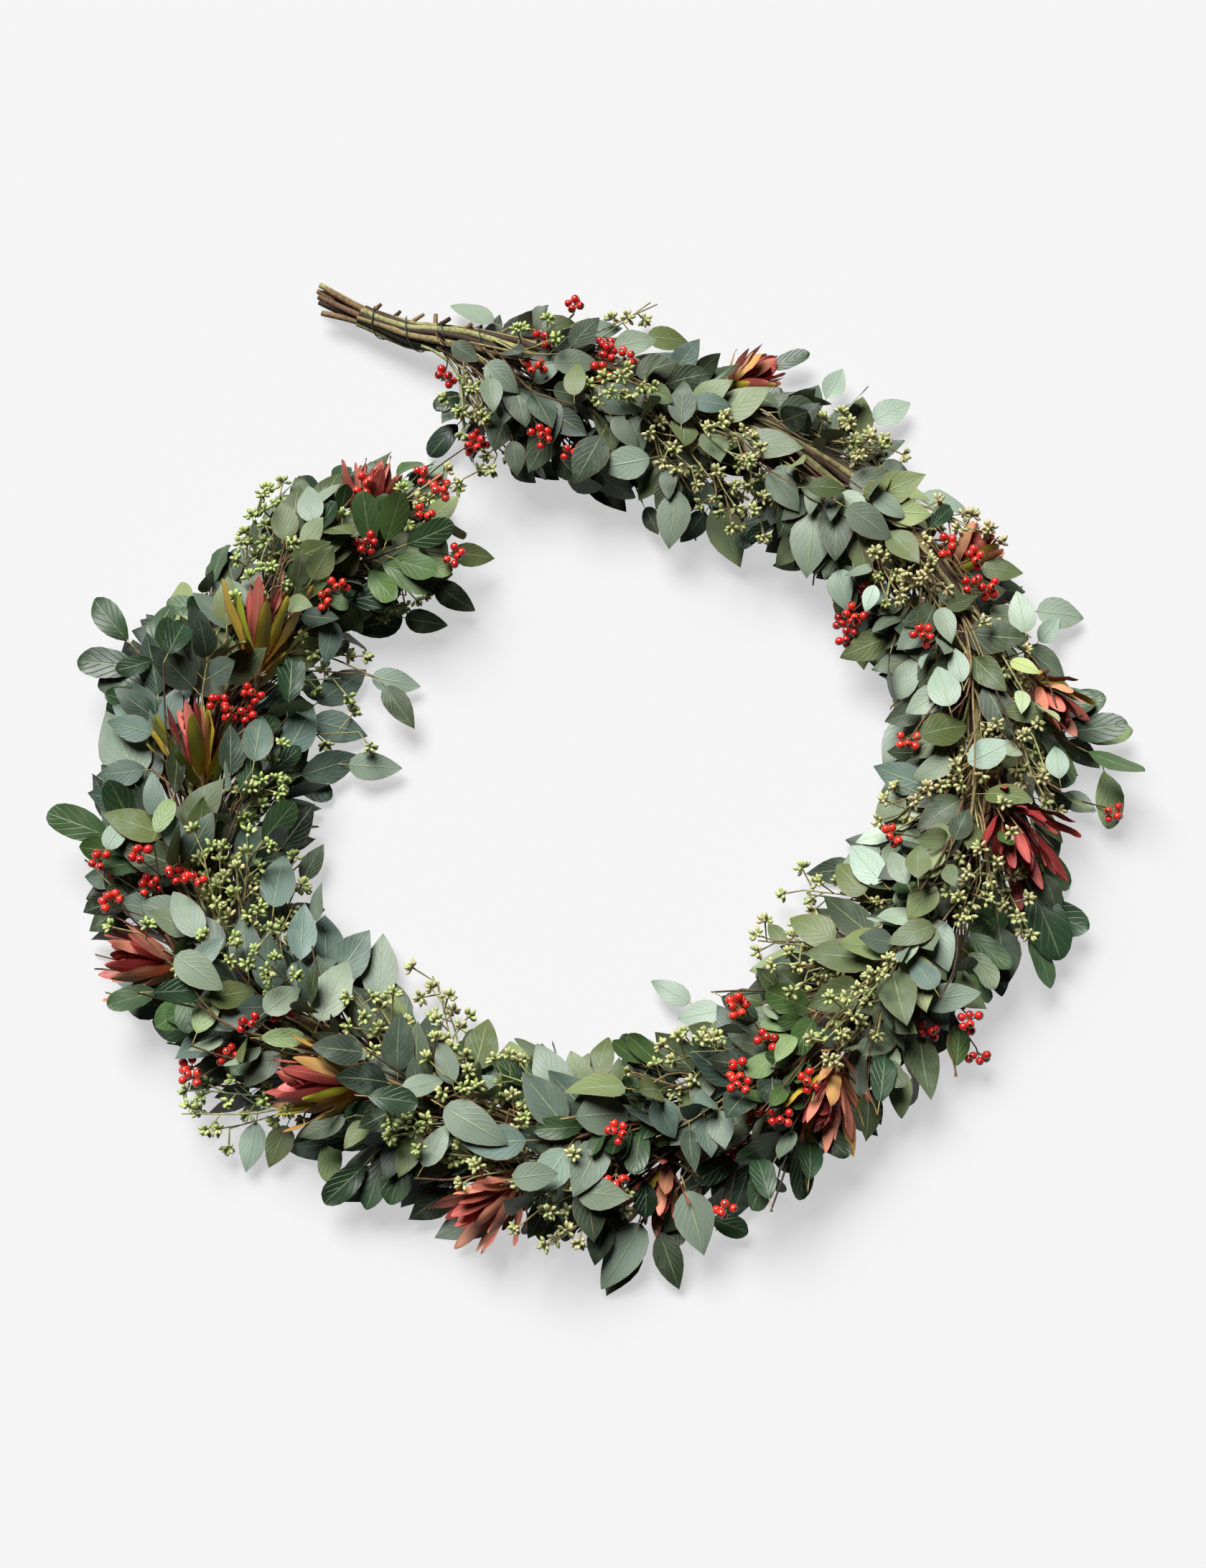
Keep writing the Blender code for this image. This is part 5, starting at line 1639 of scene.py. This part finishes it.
OUTER_EDGE = (  # pixels that the tips of the leaves reach on the outside, from the bare stems to the tip
    (606, 610), (606, 490), (700, 432), (790, 412), (905, 446), (970, 452), (1060, 492), (1125, 492),
    (1185, 522), (1262, 556), (1262, 635), (1290, 692), (1345, 706), (1400, 750), (1415, 800), (1470, 850),
    (1490, 930), (1535, 1000), (1540, 1130), (1480, 1200), (1482, 1325), (1412, 1378), (1340, 1425),
    (1282, 1500), (1262, 1565), (1160, 1615), (1090, 1665), (1036, 1728), (960, 1752), (850, 1765),
    (740, 1752), (620, 1726), (510, 1702), (440, 1655), (340, 1628), (262, 1560), (226, 1440), (150, 1378),
    (112, 1270), (114, 1120), (140, 1020), (150, 940), (172, 868), (235, 835), (292, 805), (300, 765),
    (345, 735), (352, 695), (415, 655), (520, 622),
)
INNER_EDGE = (
    (640, 650), (714, 676), (800, 672), (860, 688), (930, 765), (985, 760), (1074, 790), (1125, 805),
    (1165, 845), (1172, 925), (1246, 950), (1246, 1036), (1212, 1068), (1220, 1145), (1140, 1172),
    (1098, 1230), (1060, 1290), (1034, 1366), (984, 1410), (940, 1440), (850, 1430), (790, 1446), (700, 1432),
    (650, 1410), (600, 1366), (540, 1310), (490, 1250), (452, 1226), (452, 1130), (540, 1060), (500, 1010),
    (500, 930), (560, 890), (650, 868), (640, 800), (680, 768), (640, 712), (640, 640),
)
FILL_STEP = 34 * MM


def both_sides(aside, high, pairs):
    return (aside, high, pairs), (-aside, high, pairs)


LAYERS = (  # share of the half width, height as a share of the mound's, pairs of leaves
    (0.0, 0.92, 4), *both_sides(0.42, 0.90, 4), *both_sides(0.72, 0.80, 3), *both_sides(0.22, 0.72, 3),
    *both_sides(0.62, 0.50, 3), *both_sides(0.85, 0.35, 2), *both_sides(0.35, 0.40, 3),
    *both_sides(0.70, 0.20, 2), *both_sides(0.95, 0.15, 2), (0.15, 0.2, 2), *both_sides(-0.5, 0.12, 2),
    (0.1, 0.32, 2), (-0.2, 0.26, 2), (0.4, 0.26, 2), (-0.4, 0.30, 2), (0.0, 0.14, 2), (0.7, 0.32, 2),
    (-0.8, 0.12, 2), (-0.9, 0.30, 2), (-0.75, 0.45, 2),
)
MOUND_TOP = 84 * MM
SIGHT = 70 * MM
LIFTS = (3, 8, 13, 18, 24)  # how far over the mound an accent may stand, in mm
BARE_SPINE = ((1010, 1205), (1343, 1366))  # where the photograph shows the stem bundle, by the pixel's x
SHRINK = -0.25 * MM
FINE_GAP = 5 * MM


def region(share, column):
    return float(np.interp(share, [row[0] for row in REGIONS], [row[column] for row in REGIONS]))


def inside_edges(point):
    """Whether the photograph shows a point inside the garland's two edges."""
    x, y = pixel_of(point)
    inside, edge = False, (*OUTER_EDGE, *INNER_EDGE[::-1])
    for (ax, ay), (bx, by) in zip(edge, edge[1:] + edge[:1]):
        if (ay > y) != (by > y) and x < ax + (bx - ax) * (y - ay) / (by - ay):
            inside = not inside
    return inside


def mound_top(aside):
    """Height of the foliage at a share of its half width."""
    return MOUND_TOP * math.sqrt(max(1 - (aside / 1.12) ** 2, 0.05))


def on_mound(px, py, lift=0.0):
    """The point of the mound's surface that shows at a pixel, and its place along the foliage."""
    height = 60 * MM
    for _ in range(4):
        point = seen_at(px, py, height)
        s = garland.foliage.nearest(point)
        middle = garland.foliage.at(s)
        height = mound_top((point - middle.to_3d()).to_2d().length / middle.w) + lift
    return seen_at(px, py, height), s


def sight(point, radius):
    return tube([point, point + to_eye(point) * SIGHT], [radius * 0.7, radius], 6)


views = Space()


def keep_in_view(point, radius):
    """Leaves that come later stay out of the line of sight to something that the photograph shows."""
    views.add("sight", sight(point, radius))


def fits(node, shape):
    """Whether a fine leaf or umbel is clear of all the others, and hides nothing that is to be seen."""
    return garland.space.free(node, shape, FINE_GAP) and views.clear(Space.entry(node, shape))


def lifted_clear(px, py, radius):
    """A point over the mound at a pixel, raised until nothing stands between it and the camera."""
    for lift in LIFTS:
        point, s = on_mound(px, py, lift * MM)
        if garland.space.clear(Space.entry("sight", sight(point + to_eye(point) * radius, radius))):
            break
    return point, s


# %% Sprigs, leaf by leaf
fill = {kind: [] for kind in KINDS}
rng = garland.rng = random.Random(SEED + 3)
garland.slimness, garland.bound_from = 0.6, 80 * MM
garland.space.ceiling = CAD_BOX[1][2]


def keep(kind, node, s=0.0, tone=0.5, hue=0.5):
    """Moves what has grown at a place along the foliage over to the fill."""
    fill[kind].append((garland.pieces.pop(node), s / garland.foliage.length, tone, hue))


def fill_leaf(node, kind, stem, place, ahead, face, size):
    """A finer leaf, turned a little at a time until it is clear."""
    root, along, _ = stem.at(place[0])
    length, width = LEAF_SIZE[kind]
    if rng.random() < 0.12:
        face = face + stem.points[-1].cross(along).normalized() * rng.choice((-1.6, 1.6))
    for attempt in range(TRIES["fine leaf"]):
        spread = 0.16 + 0.06 * attempt
        turned = (ahead + garland.nudge(spread) + face * 0.04 * attempt).normalized()
        shown = face + garland.nudge(0.25 + spread * 1.3)
        scale = size * rng.uniform(0.78, 1.14) * (1 - 0.018 * attempt)
        base = root + turned * STALK * min(scale, 1)
        turned.z = max(turned.z, (4 * MM - base.z) / (length * scale))
        leaf = Leaf(kind, root, base, turned, shown, length * scale, width * scale * rng.uniform(0.9, 1.25),
                    rng.choice(ARCHES))
        shape = leaf.shape(SHRINK, stalk=False)
        if not inside_edges(leaf.station(1)[0]):
            continue
        if fits(node, shape) and not garland.space.crowded(node, shape):
            stem.leaves[place] = leaf
            garland.put(node, leaf, shape)
            return


def sprig(kind, aim, toward, pairs, size, tone, hue):
    """A stem with pairs of leaves that get smaller towards its end."""
    node = f"fill_{kind}_{len(fill[kind])}"
    stem = garland.stem(node, aim, toward, kind, pairs=pairs)
    if stem is None:
        return
    for place, ahead, face in garland.places(stem, pairs, lift=0.25):
        fill_leaf(node, kind, stem, place, ahead, face, size * (1.08 - 0.06 * place[0] if place[1] else 1))
    keep(kind, node, garland.foliage.nearest(stem.points[-1]), tone, hue)


def thicken():
    line = garland.foliage
    stations = int(line.length / FILL_STEP)
    for aside, high, pairs in LAYERS:
        for k in range(stations):
            s = (k + rng.random()) * FILL_STEP
            middle, ahead = line.at(s), line.along(s)
            outer = UP.cross(ahead).normalized()
            share = aside + rng.uniform(-0.12, 0.12)
            aim = middle.to_3d() + outer * share * middle.w * 0.92
            aim.z = high * mound_top(abs(share)) * rng.uniform(0.88, 1.05)
            toward = (ahead + outer * share * rng.uniform(0.7, 1.3) - UP * abs(share) * 0.3).normalized()
            place = s / line.length
            kind = "cotoneaster" if rng.random() < region(place, COTONEASTER) else "eucalyptus"
            # Sprigs lower in the mound get a darker tone: painted shade for the shade deep inside the foliage,
            # on top of the tone that each region has.
            tone = rng.uniform(region(place, DARKEST), region(place, PALEST)) - 0.4 * (1 - high)
            sprig(kind, aim, toward, pairs, region(place, SIZE), tone, rng.gauss(region(place, YELLOW), 0.25))


# %% [markdown]
# ## Accents by pixel
# Berries, buds, blooms and the leaves on top catch the eye, so they stand where the photograph shows them.
# The height follows from the mound, and each stem still starts at the bundle.

# %% Accents
SCATTER = 26  # pixels
UMBELS = 9  # on each twig of buds
MORE_BLOOMS = (
    (1025, 535, 15, 42, 50), (925, 1630, 262, 34, 62), (1335, 790, 40, 44, 50), (1450, 960, 300, 48, 56),
)
MORE_BERRIES = (
    (745, 480, 1), (740, 515, 1), (615, 530, 1), (735, 600, 1), (780, 640, 1), (850, 505, 2), (1190, 850, 2),
    (1180, 880, 2), (1200, 790, 1), (1362, 810, 3), (1310, 760, 1), (1280, 900, 1), (1265, 1025, 1),
    (1255, 1160, 1), (1540, 1125, 1), (1350, 1415, 3), (1360, 1460, 1), (1040, 1430, 3), (1010, 1500, 2),
    (1080, 1570, 2), (1130, 1490, 1), (1020, 1680, 2), (865, 1580, 1), (885, 1625, 1), (510, 1650, 1),
    (265, 1500, 3), (355, 1430, 2), (130, 1195, 2), (200, 1200, 2), (270, 1235, 1), (175, 1270, 1),
    (350, 970, 3), (470, 820, 2), (525, 760, 3), (605, 710, 3), (610, 765, 1), (487, 687, 1), (530, 790, 2),
    (660, 615, 3),
)
MORE_BUDS = (
    (700, 450, 3), (760, 460, 3), (905, 425, 4), (660, 575, 6), (700, 610, 4), (870, 565, 5), (960, 640, 6),
    (1010, 690, 7), (1060, 730, 6), (1040, 630, 5), (1220, 630, 6), (1300, 800, 9), (1260, 820, 5),
    (1380, 745, 6), (1370, 915, 6), (1430, 945, 7), (1440, 1060, 7), (1470, 1110, 7), (1400, 1040, 5),
    (1380, 1075, 4), (1240, 1120, 4), (1360, 1200, 6), (1390, 1170, 6), (1340, 1285, 5), (1430, 1290, 5),
    (1120, 1240, 6), (1070, 1310, 8), (1110, 1340, 5), (1195, 1390, 6), (1170, 1460, 4), (1130, 1530, 3),
    (945, 1470, 5), (910, 1580, 9), (720, 1535, 7), (660, 1640, 6), (700, 1620, 5), (770, 1710, 6),
    (560, 1580, 6), (610, 1480, 5), (500, 1390, 6), (545, 1425, 6), (610, 1370, 6), (350, 1500, 5),
    (300, 1540, 5), (280, 1560, 3), (310, 1310, 6), (220, 1290, 5), (330, 1240, 5), (410, 1230, 5),
    (430, 1190, 4), (330, 1190, 4), (370, 1090, 4), (500, 1020, 3), (495, 930, 5), (570, 840, 4),
    (380, 780, 5), (390, 690, 4), (590, 650, 7), (620, 640, 4), (540, 700, 4),
)
TOP_LOOKS = {  # kind, tone and yellowness of the leaves that lie on top
    "mint": ("eucalyptus", 0.80, 0.35), "sage": ("eucalyptus", 0.61, 0.45),
    "blue": ("eucalyptus", 0.50, 0.05), "olive": ("eucalyptus", 0.43, 0.95),
    "dark": ("eucalyptus", 0.24, 0.60), "glossy": ("cotoneaster", 0.30, 0.3),
    "pale": ("cotoneaster", 0.95, 0.7), "bright": ("cotoneaster", 0.72, 1.0),
}
TOP_LEAVES = {  # pixel of the blade's middle, heading, and length in pixels
    "mint": (
        (553, 950, 350, 72), (868, 646, 190, 78), (1243, 570, 30, 64), (1163, 533, 60, 56),
        (1170, 553, 95, 60), (1240, 703, 330, 58), (1480, 853, 0, 74), (1463, 877, 45, 50),
        (1423, 850, 100, 64), (1472, 1058, 100, 54), (1380, 1046, 25, 70), (1411, 1061, 320, 58),
        (933, 1380, 150, 64), (973, 1413, 190, 62), (1258, 1376, 265, 70), (1325, 1388, 5, 82),
        (867, 1753, 245, 104), (1334, 923, 100, 58), (1212, 833, 250, 42), (1313, 951, 105, 74),
        (677, 1647, 25, 64), (162, 1158, 60, 54), (352, 1596, 265, 70), (1203, 1201, 130, 78),
        (1288, 978, 210, 62),
    ),
    "sage": (
        (523, 1068, 355, 76), (657, 432, 150, 76), (431, 697, 100, 68), (886, 475, 10, 64),
        (700, 524, 320, 64), (684, 548, 270, 60), (745, 579, 255, 62), (871, 603, 310, 58), (806, 502, 5, 72),
        (938, 722, 262, 86), (1093, 683, 310, 72), (1130, 753, 265, 100), (1213, 727, 330, 78),
        (1317, 870, 280, 58), (1264, 942, 60, 72), (1298, 1070, 200, 62), (1417, 1226, 80, 58),
        (1249, 1204, 110, 62), (1203, 1339, 10, 86), (620, 1477, 110, 66), (720, 1500, 100, 68),
        (767, 1493, 115, 88), (847, 1550, 10, 88), (660, 1567, 330, 98), (607, 1593, 60, 68),
        (970, 1703, 290, 88), (840, 1663, 355, 72), (990, 1623, 65, 82), (747, 1637, 20, 62),
        (340, 1296, 75, 68), (529, 1344, 88, 98), (463, 1374, 70, 100), (394, 1389, 40, 62),
        (592, 1509, 20, 64), (604, 1590, 60, 74), (332, 1230, 60, 62), (257, 1266, 120, 88),
        (277, 1353, 335, 78), (1233, 785, 235, 94),
    ),
    "blue": (
        (460, 893, 265, 66), (260, 960, 100, 78), (313, 920, 270, 58), (360, 1020, 80, 88),
        (463, 1067, 20, 90), (180, 1013, 170, 64), (167, 1077, 190, 64), (388, 1221, 85, 94),
        (290, 1326, 30, 60), (421, 1296, 88, 82), (454, 1302, 92, 82), (480, 1290, 85, 82),
        (619, 1470, 120, 64), (148, 1281, 170, 64), (214, 1104, 95, 64), (993, 560, 350, 56),
        (1243, 857, 240, 56), (1307, 933, 100, 48), (1337, 923, 110, 58), (1252, 1082, 160, 78),
        (478, 955, 30, 88), (472, 1012, 345, 84), (452, 1285, 60, 90), (492, 1330, 50, 84),
        (518, 1302, 75, 80), (1285, 1351, 120, 62), (937, 1523, 350, 78), (420, 1013, 60, 78),
        (927, 1557, 300, 62), (837, 458, 10, 68),
    ),
    "olive": (
        (327, 1383, 15, 70), (933, 470, 5, 68), (1107, 573, 80, 90), (1157, 593, 355, 88),
        (1200, 577, 75, 68), (1153, 677, 350, 58), (1207, 900, 205, 78), (1319, 1012, 20, 80),
        (1328, 1070, 30, 62), (1426, 991, 180, 62), (1453, 966, 60, 54), (1279, 1198, 70, 56),
        (1181, 1220, 130, 70), (1270, 1299, 200, 68), (1129, 1290, 150, 76), (1080, 1299, 130, 44),
        (673, 1450, 75, 80), (837, 1470, 80, 70), (863, 1477, 120, 54), (843, 1503, 0, 88),
        (535, 1479, 5, 76), (388, 1596, 250, 62), (800, 524, 95, 60), (1397, 793, 355, 60),
        (1407, 887, 355, 62), (660, 773, 355, 64), (397, 723, 95, 62),
    ),
    "dark": (
        (556, 985, 305, 74), (633, 833, 325, 68), (593, 867, 345, 62), (756, 621, 250, 86),
        (644, 606, 265, 64), (822, 637, 245, 82), (718, 637, 280, 54), (742, 643, 300, 54),
        (648, 490, 330, 48), (436, 1200, 60, 62), (933, 1757, 290, 82), (823, 1690, 280, 76),
        (837, 1730, 265, 62), (1227, 1302, 150, 62), (1258, 997, 200, 54), (1340, 1146, 60, 56),
        (1466, 1247, 290, 62), (1383, 1131, 88, 82), (950, 557, 88, 74),
    ),
    "glossy": (
        (517, 830, 5, 84), (405, 941, 85, 76), (247, 883, 80, 68), (348, 1077, 60, 54), (400, 1057, 40, 54),
        (187, 927, 200, 54), (210, 963, 170, 60), (249, 1380, 20, 68), (547, 1530, 10, 66),
        (1313, 717, 45, 52), (1030, 1403, 330, 56), (1077, 1407, 10, 74), (1023, 1430, 20, 62),
        (1027, 1633, 70, 76), (1063, 1637, 100, 68), (1017, 1707, 340, 54), (1460, 1284, 300, 106),
        (1100, 500, 20, 62), (1130, 1610, 80, 70), (1230, 1500, 80, 70),
    ),
    "pale": (
        (497, 700, 335, 82), (598, 743, 15, 74), (603, 788, 340, 54), (567, 780, 20, 62), (478, 757, 70, 60),
        (229, 1134, 70, 56), (142, 1227, 250, 62), (1542, 1021, 5, 76), (1548, 1110, 280, 84),
        (1093, 1457, 60, 50), (394, 1445, 5, 58), (172, 1189, 0, 66), (460, 1614, 265, 62),
        (286, 1410, 70, 62),
    ),
    "bright": ((1053, 1577, 350, 56), (1085, 1525, 60, 40), (1335, 1455, 80, 60)),
}


def top_leaf(look, px, py, degrees, pixels):
    """A leaf that the photograph shows on top, at the end of its own stem from the bundle."""
    kind, tone, hue = TOP_LOOKS[look]
    node = f"fill_{kind}_{len(fill[kind])}"
    length = pixels * PIXEL
    width = length * LEAF_SIZE[kind][1] / LEAF_SIZE[kind][0] * rng.uniform(0.85, 1.15)
    arch = rng.choice(ARCHES[:3])
    for attempt in range(TRIES["top leaf"]):
        middle, s = on_mound(px, py, (2 + 1.5 * attempt) * MM)
        ahead = heading(degrees + rng.uniform(-1, 1) * attempt, rng.uniform(-0.2, 0.3))
        face = garland.out_from(middle) * 0.5 + to_eye(middle) * 0.8 + garland.nudge(0.2)
        base = middle - ahead * length / 2
        leaf = Leaf(kind, base - ahead * STALK, base, ahead, face, length, width, arch)
        shape = leaf.shape(SHRINK, stalk=False)
        if not fits(node, shape):
            continue
        stem = garland.stem(node, leaf.root, ahead, kind, wander=0.6 * MM)
        if stem:
            garland.put(node, leaf, shape)
            for share in (0.3, 0.7):
                keep_in_view(leaf.station(share)[0], width * 0.3)
            leaf.spread = 0.08
            keep(kind, node, s, tone, hue)
            return


def umbels(node, stem, count, out):
    """Umbels of buds round the end of a twig, each on its stalk, turned on from one to the next."""
    centres = []
    for k in range(count):
        root, along, _ = stem.at((1 - 0.45 * k / count) * stem.end)
        aside = Matrix.Rotation(2.4 * k, 3, along) @ out.cross(along).normalized()
        for attempt in range(TRIES["umbel"]):
            way = along * 0.5 + (aside + out * 0.4 if k else Vector()) + garland.nudge(0.2 + 0.1 * attempt)
            way = way.normalized()
            centre = root + way * rng.uniform(7, 24) * MM
            umbel = Cluster("bud", root, centre, way, rng.uniform(0, math.tau), 6)
            shape = umbel.shape(2 * SHRINK)
            apart = all((centre - c).length > 8 * MM for c in centres)
            if apart and inside_edges(centre) and fits(node, shape):
                centres.append(centre)
                garland.pieces[node].append(umbel)
                garland.space.add(node, shape, True)
                keep_in_view(centre, 6 * MM)
                break


def accent(kind, px, py, count):
    """Clusters of berries or umbels of buds on one stalk at a place on the mound."""
    node = f"fill_{kind}_{len(fill[kind])}"
    middle, s = lifted_clear(px, py, 7 * MM)
    out, ahead = garland.out_from(middle), garland.foliage.along(s)
    toward = out * 1.4 + ahead if kind == "berries" else ahead + out * 0.3
    toward = (toward + garland.nudge(0.4)).normalized()
    stem = garland.stem(node, middle, toward, kind, sides=3)
    if stem and kind == "berries":
        clusters(garland, node, "berry", stem, count, toward, out)
        keep_in_view(middle, 10 * MM)
    elif stem:
        umbels(node, stem, count, out)
    if stem:
        place = s / garland.foliage.length
        tone = rng.uniform(0.3, 0.9) if kind == "berries" else region(place, RIPE) + rng.uniform(-0.2, 0.2)
        keep(kind, node, s, tone)


def scatter(kind, rows):
    """Accents at the pixel of each row, and more of them round it where its count is over three."""
    for px, py, count in rows:
        for part in range(0, count, 3):
            spread = SCATTER if part else 0
            near = px + rng.uniform(-spread, spread), py + rng.uniform(-spread, spread)
            accent(kind, *near, count if kind == "berries" else UMBELS)


def accents():
    for pieces in garland.pieces.values():
        for piece in pieces:
            if isinstance(piece, Cluster):
                keep_in_view(piece.centre, 8 * MM)
            elif isinstance(piece, Bloom):
                for share in (-0.1, 0.25, 0.6, 0.9):
                    keep_in_view(piece.base + piece.axis * share * piece.size, 20 * MM)
    for k in range(int(garland.bundle.length / (16 * MM))):
        point = garland.bundle.at(k * 16 * MM).to_3d()
        x, y = pixel_of(point)
        if y < 1010 and any(low < x < high for low, high in BARE_SPINE):
            keep_in_view(point + UP * 10 * MM, 9 * MM)
    for number, row in enumerate(MORE_BLOOMS):
        node = f"fill_bloom_{number}"
        bloom(garland, node, row)
        if node in garland.pieces:
            keep_in_view(seen_at(*row[:2], row[3] * MM), 12 * MM)
            keep("bloom", node)
    scatter("berries", MORE_BERRIES)
    for look, rows in TOP_LEAVES.items():
        for row in rows:
            top_leaf(look, *row)
    scatter("buds", MORE_BUDS)


accents()
thicken()
print("sprigs added:", {kind: len(rows) for kind, rows in fill.items()})

# %% Pieces of added greenery
for kind, (finish, slot, twig_tones, shares) in KINDS.items():
    for share in range(shares):
        skeleton = Skeleton()
        for pieces, place, tone, hue in fill[kind]:
            if int(min(place, 0.999) * shares) == share:
                add_pieces(skeleton, pieces, tone, hue, tone_rng.uniform(*twig_tones))
        piece = grown(f"more_{kind}_{share + 1}", skeleton, finish)
        print(piece.name, len(piece.data.polygons), "faces")

# %% Clear the library away
for obj in list(library.objects):
    bpy.data.objects.remove(obj)
bpy.data.collections.remove(library)

# %% [markdown]
# ## Table, light and camera
# A large soft light came from the upper left, over a pale table. A plain floor, an even dim sky and one wide
# sun give the same soft shadows. The camera stands where the pixels were seen from.

# %% Studio
FLOOR_SIZE = 60.0
FLOOR_COLOUR = (0.22, 0.22, 0.22, 1)
WHITE = (1, 1, 1, 1)
FLOOR_GLOW = 0.54
SKY = 0.015
SUN = (6.2, math.radians(36), (-18, -28))  # strength, width, tilt towards the left and the back in degrees


def studio():
    mesh = bpy.data.meshes.new("table_top")
    half = FLOOR_SIZE / 2
    corners = [(-half, -half, 0), (half, -half, 0), (half, half, 0), (-half, half, 0)]
    mesh.from_pydata(corners, [], [(0, 1, 2, 3)])
    floor = in_scene("table_top", mesh)
    finish = Finish("pale_table", 0.9, specular=0.1)
    glow = {"Emission Color": WHITE, "Emission Strength": FLOOR_GLOW}
    fill_in(finish.shader, {"Base Color": FLOOR_COLOUR, **glow})
    mesh.materials.append(finish.material)
    floor.visible_diffuse = False
    world = bpy.data.worlds.new("sky")
    world.use_nodes = True
    fill_in(world.node_tree.nodes["Background"], {"Color": WHITE, "Strength": SKY})
    bpy.context.scene.world = world
    lamp = bpy.data.lights.new("soft_sun", "SUN")
    lamp.energy, lamp.angle = SUN[:2]
    left, back = (math.radians(a) for a in SUN[2])
    in_scene("soft_sun", lamp).rotation_euler = (back, left, 0)


def photo_camera():
    data = bpy.data.cameras.new("photo_camera")
    camera = in_scene("photo_camera", data)
    height = 2 * PHOTO_MIDDLE[1] + 1
    data.lens = data.sensor_width * CAMERA_DISTANCE / (height * PIXEL)
    camera.location = TO_FRAME + EYE
    camera.rotation_euler = (math.pi / 2 - CAMERA_TILT, 0, 0)
    bpy.context.scene.camera = camera


studio()
photo_camera()
bpy.context.scene.view_settings.view_transform = "Standard"
print("lens in mm:", round(bpy.context.scene.camera.data.lens, 1))
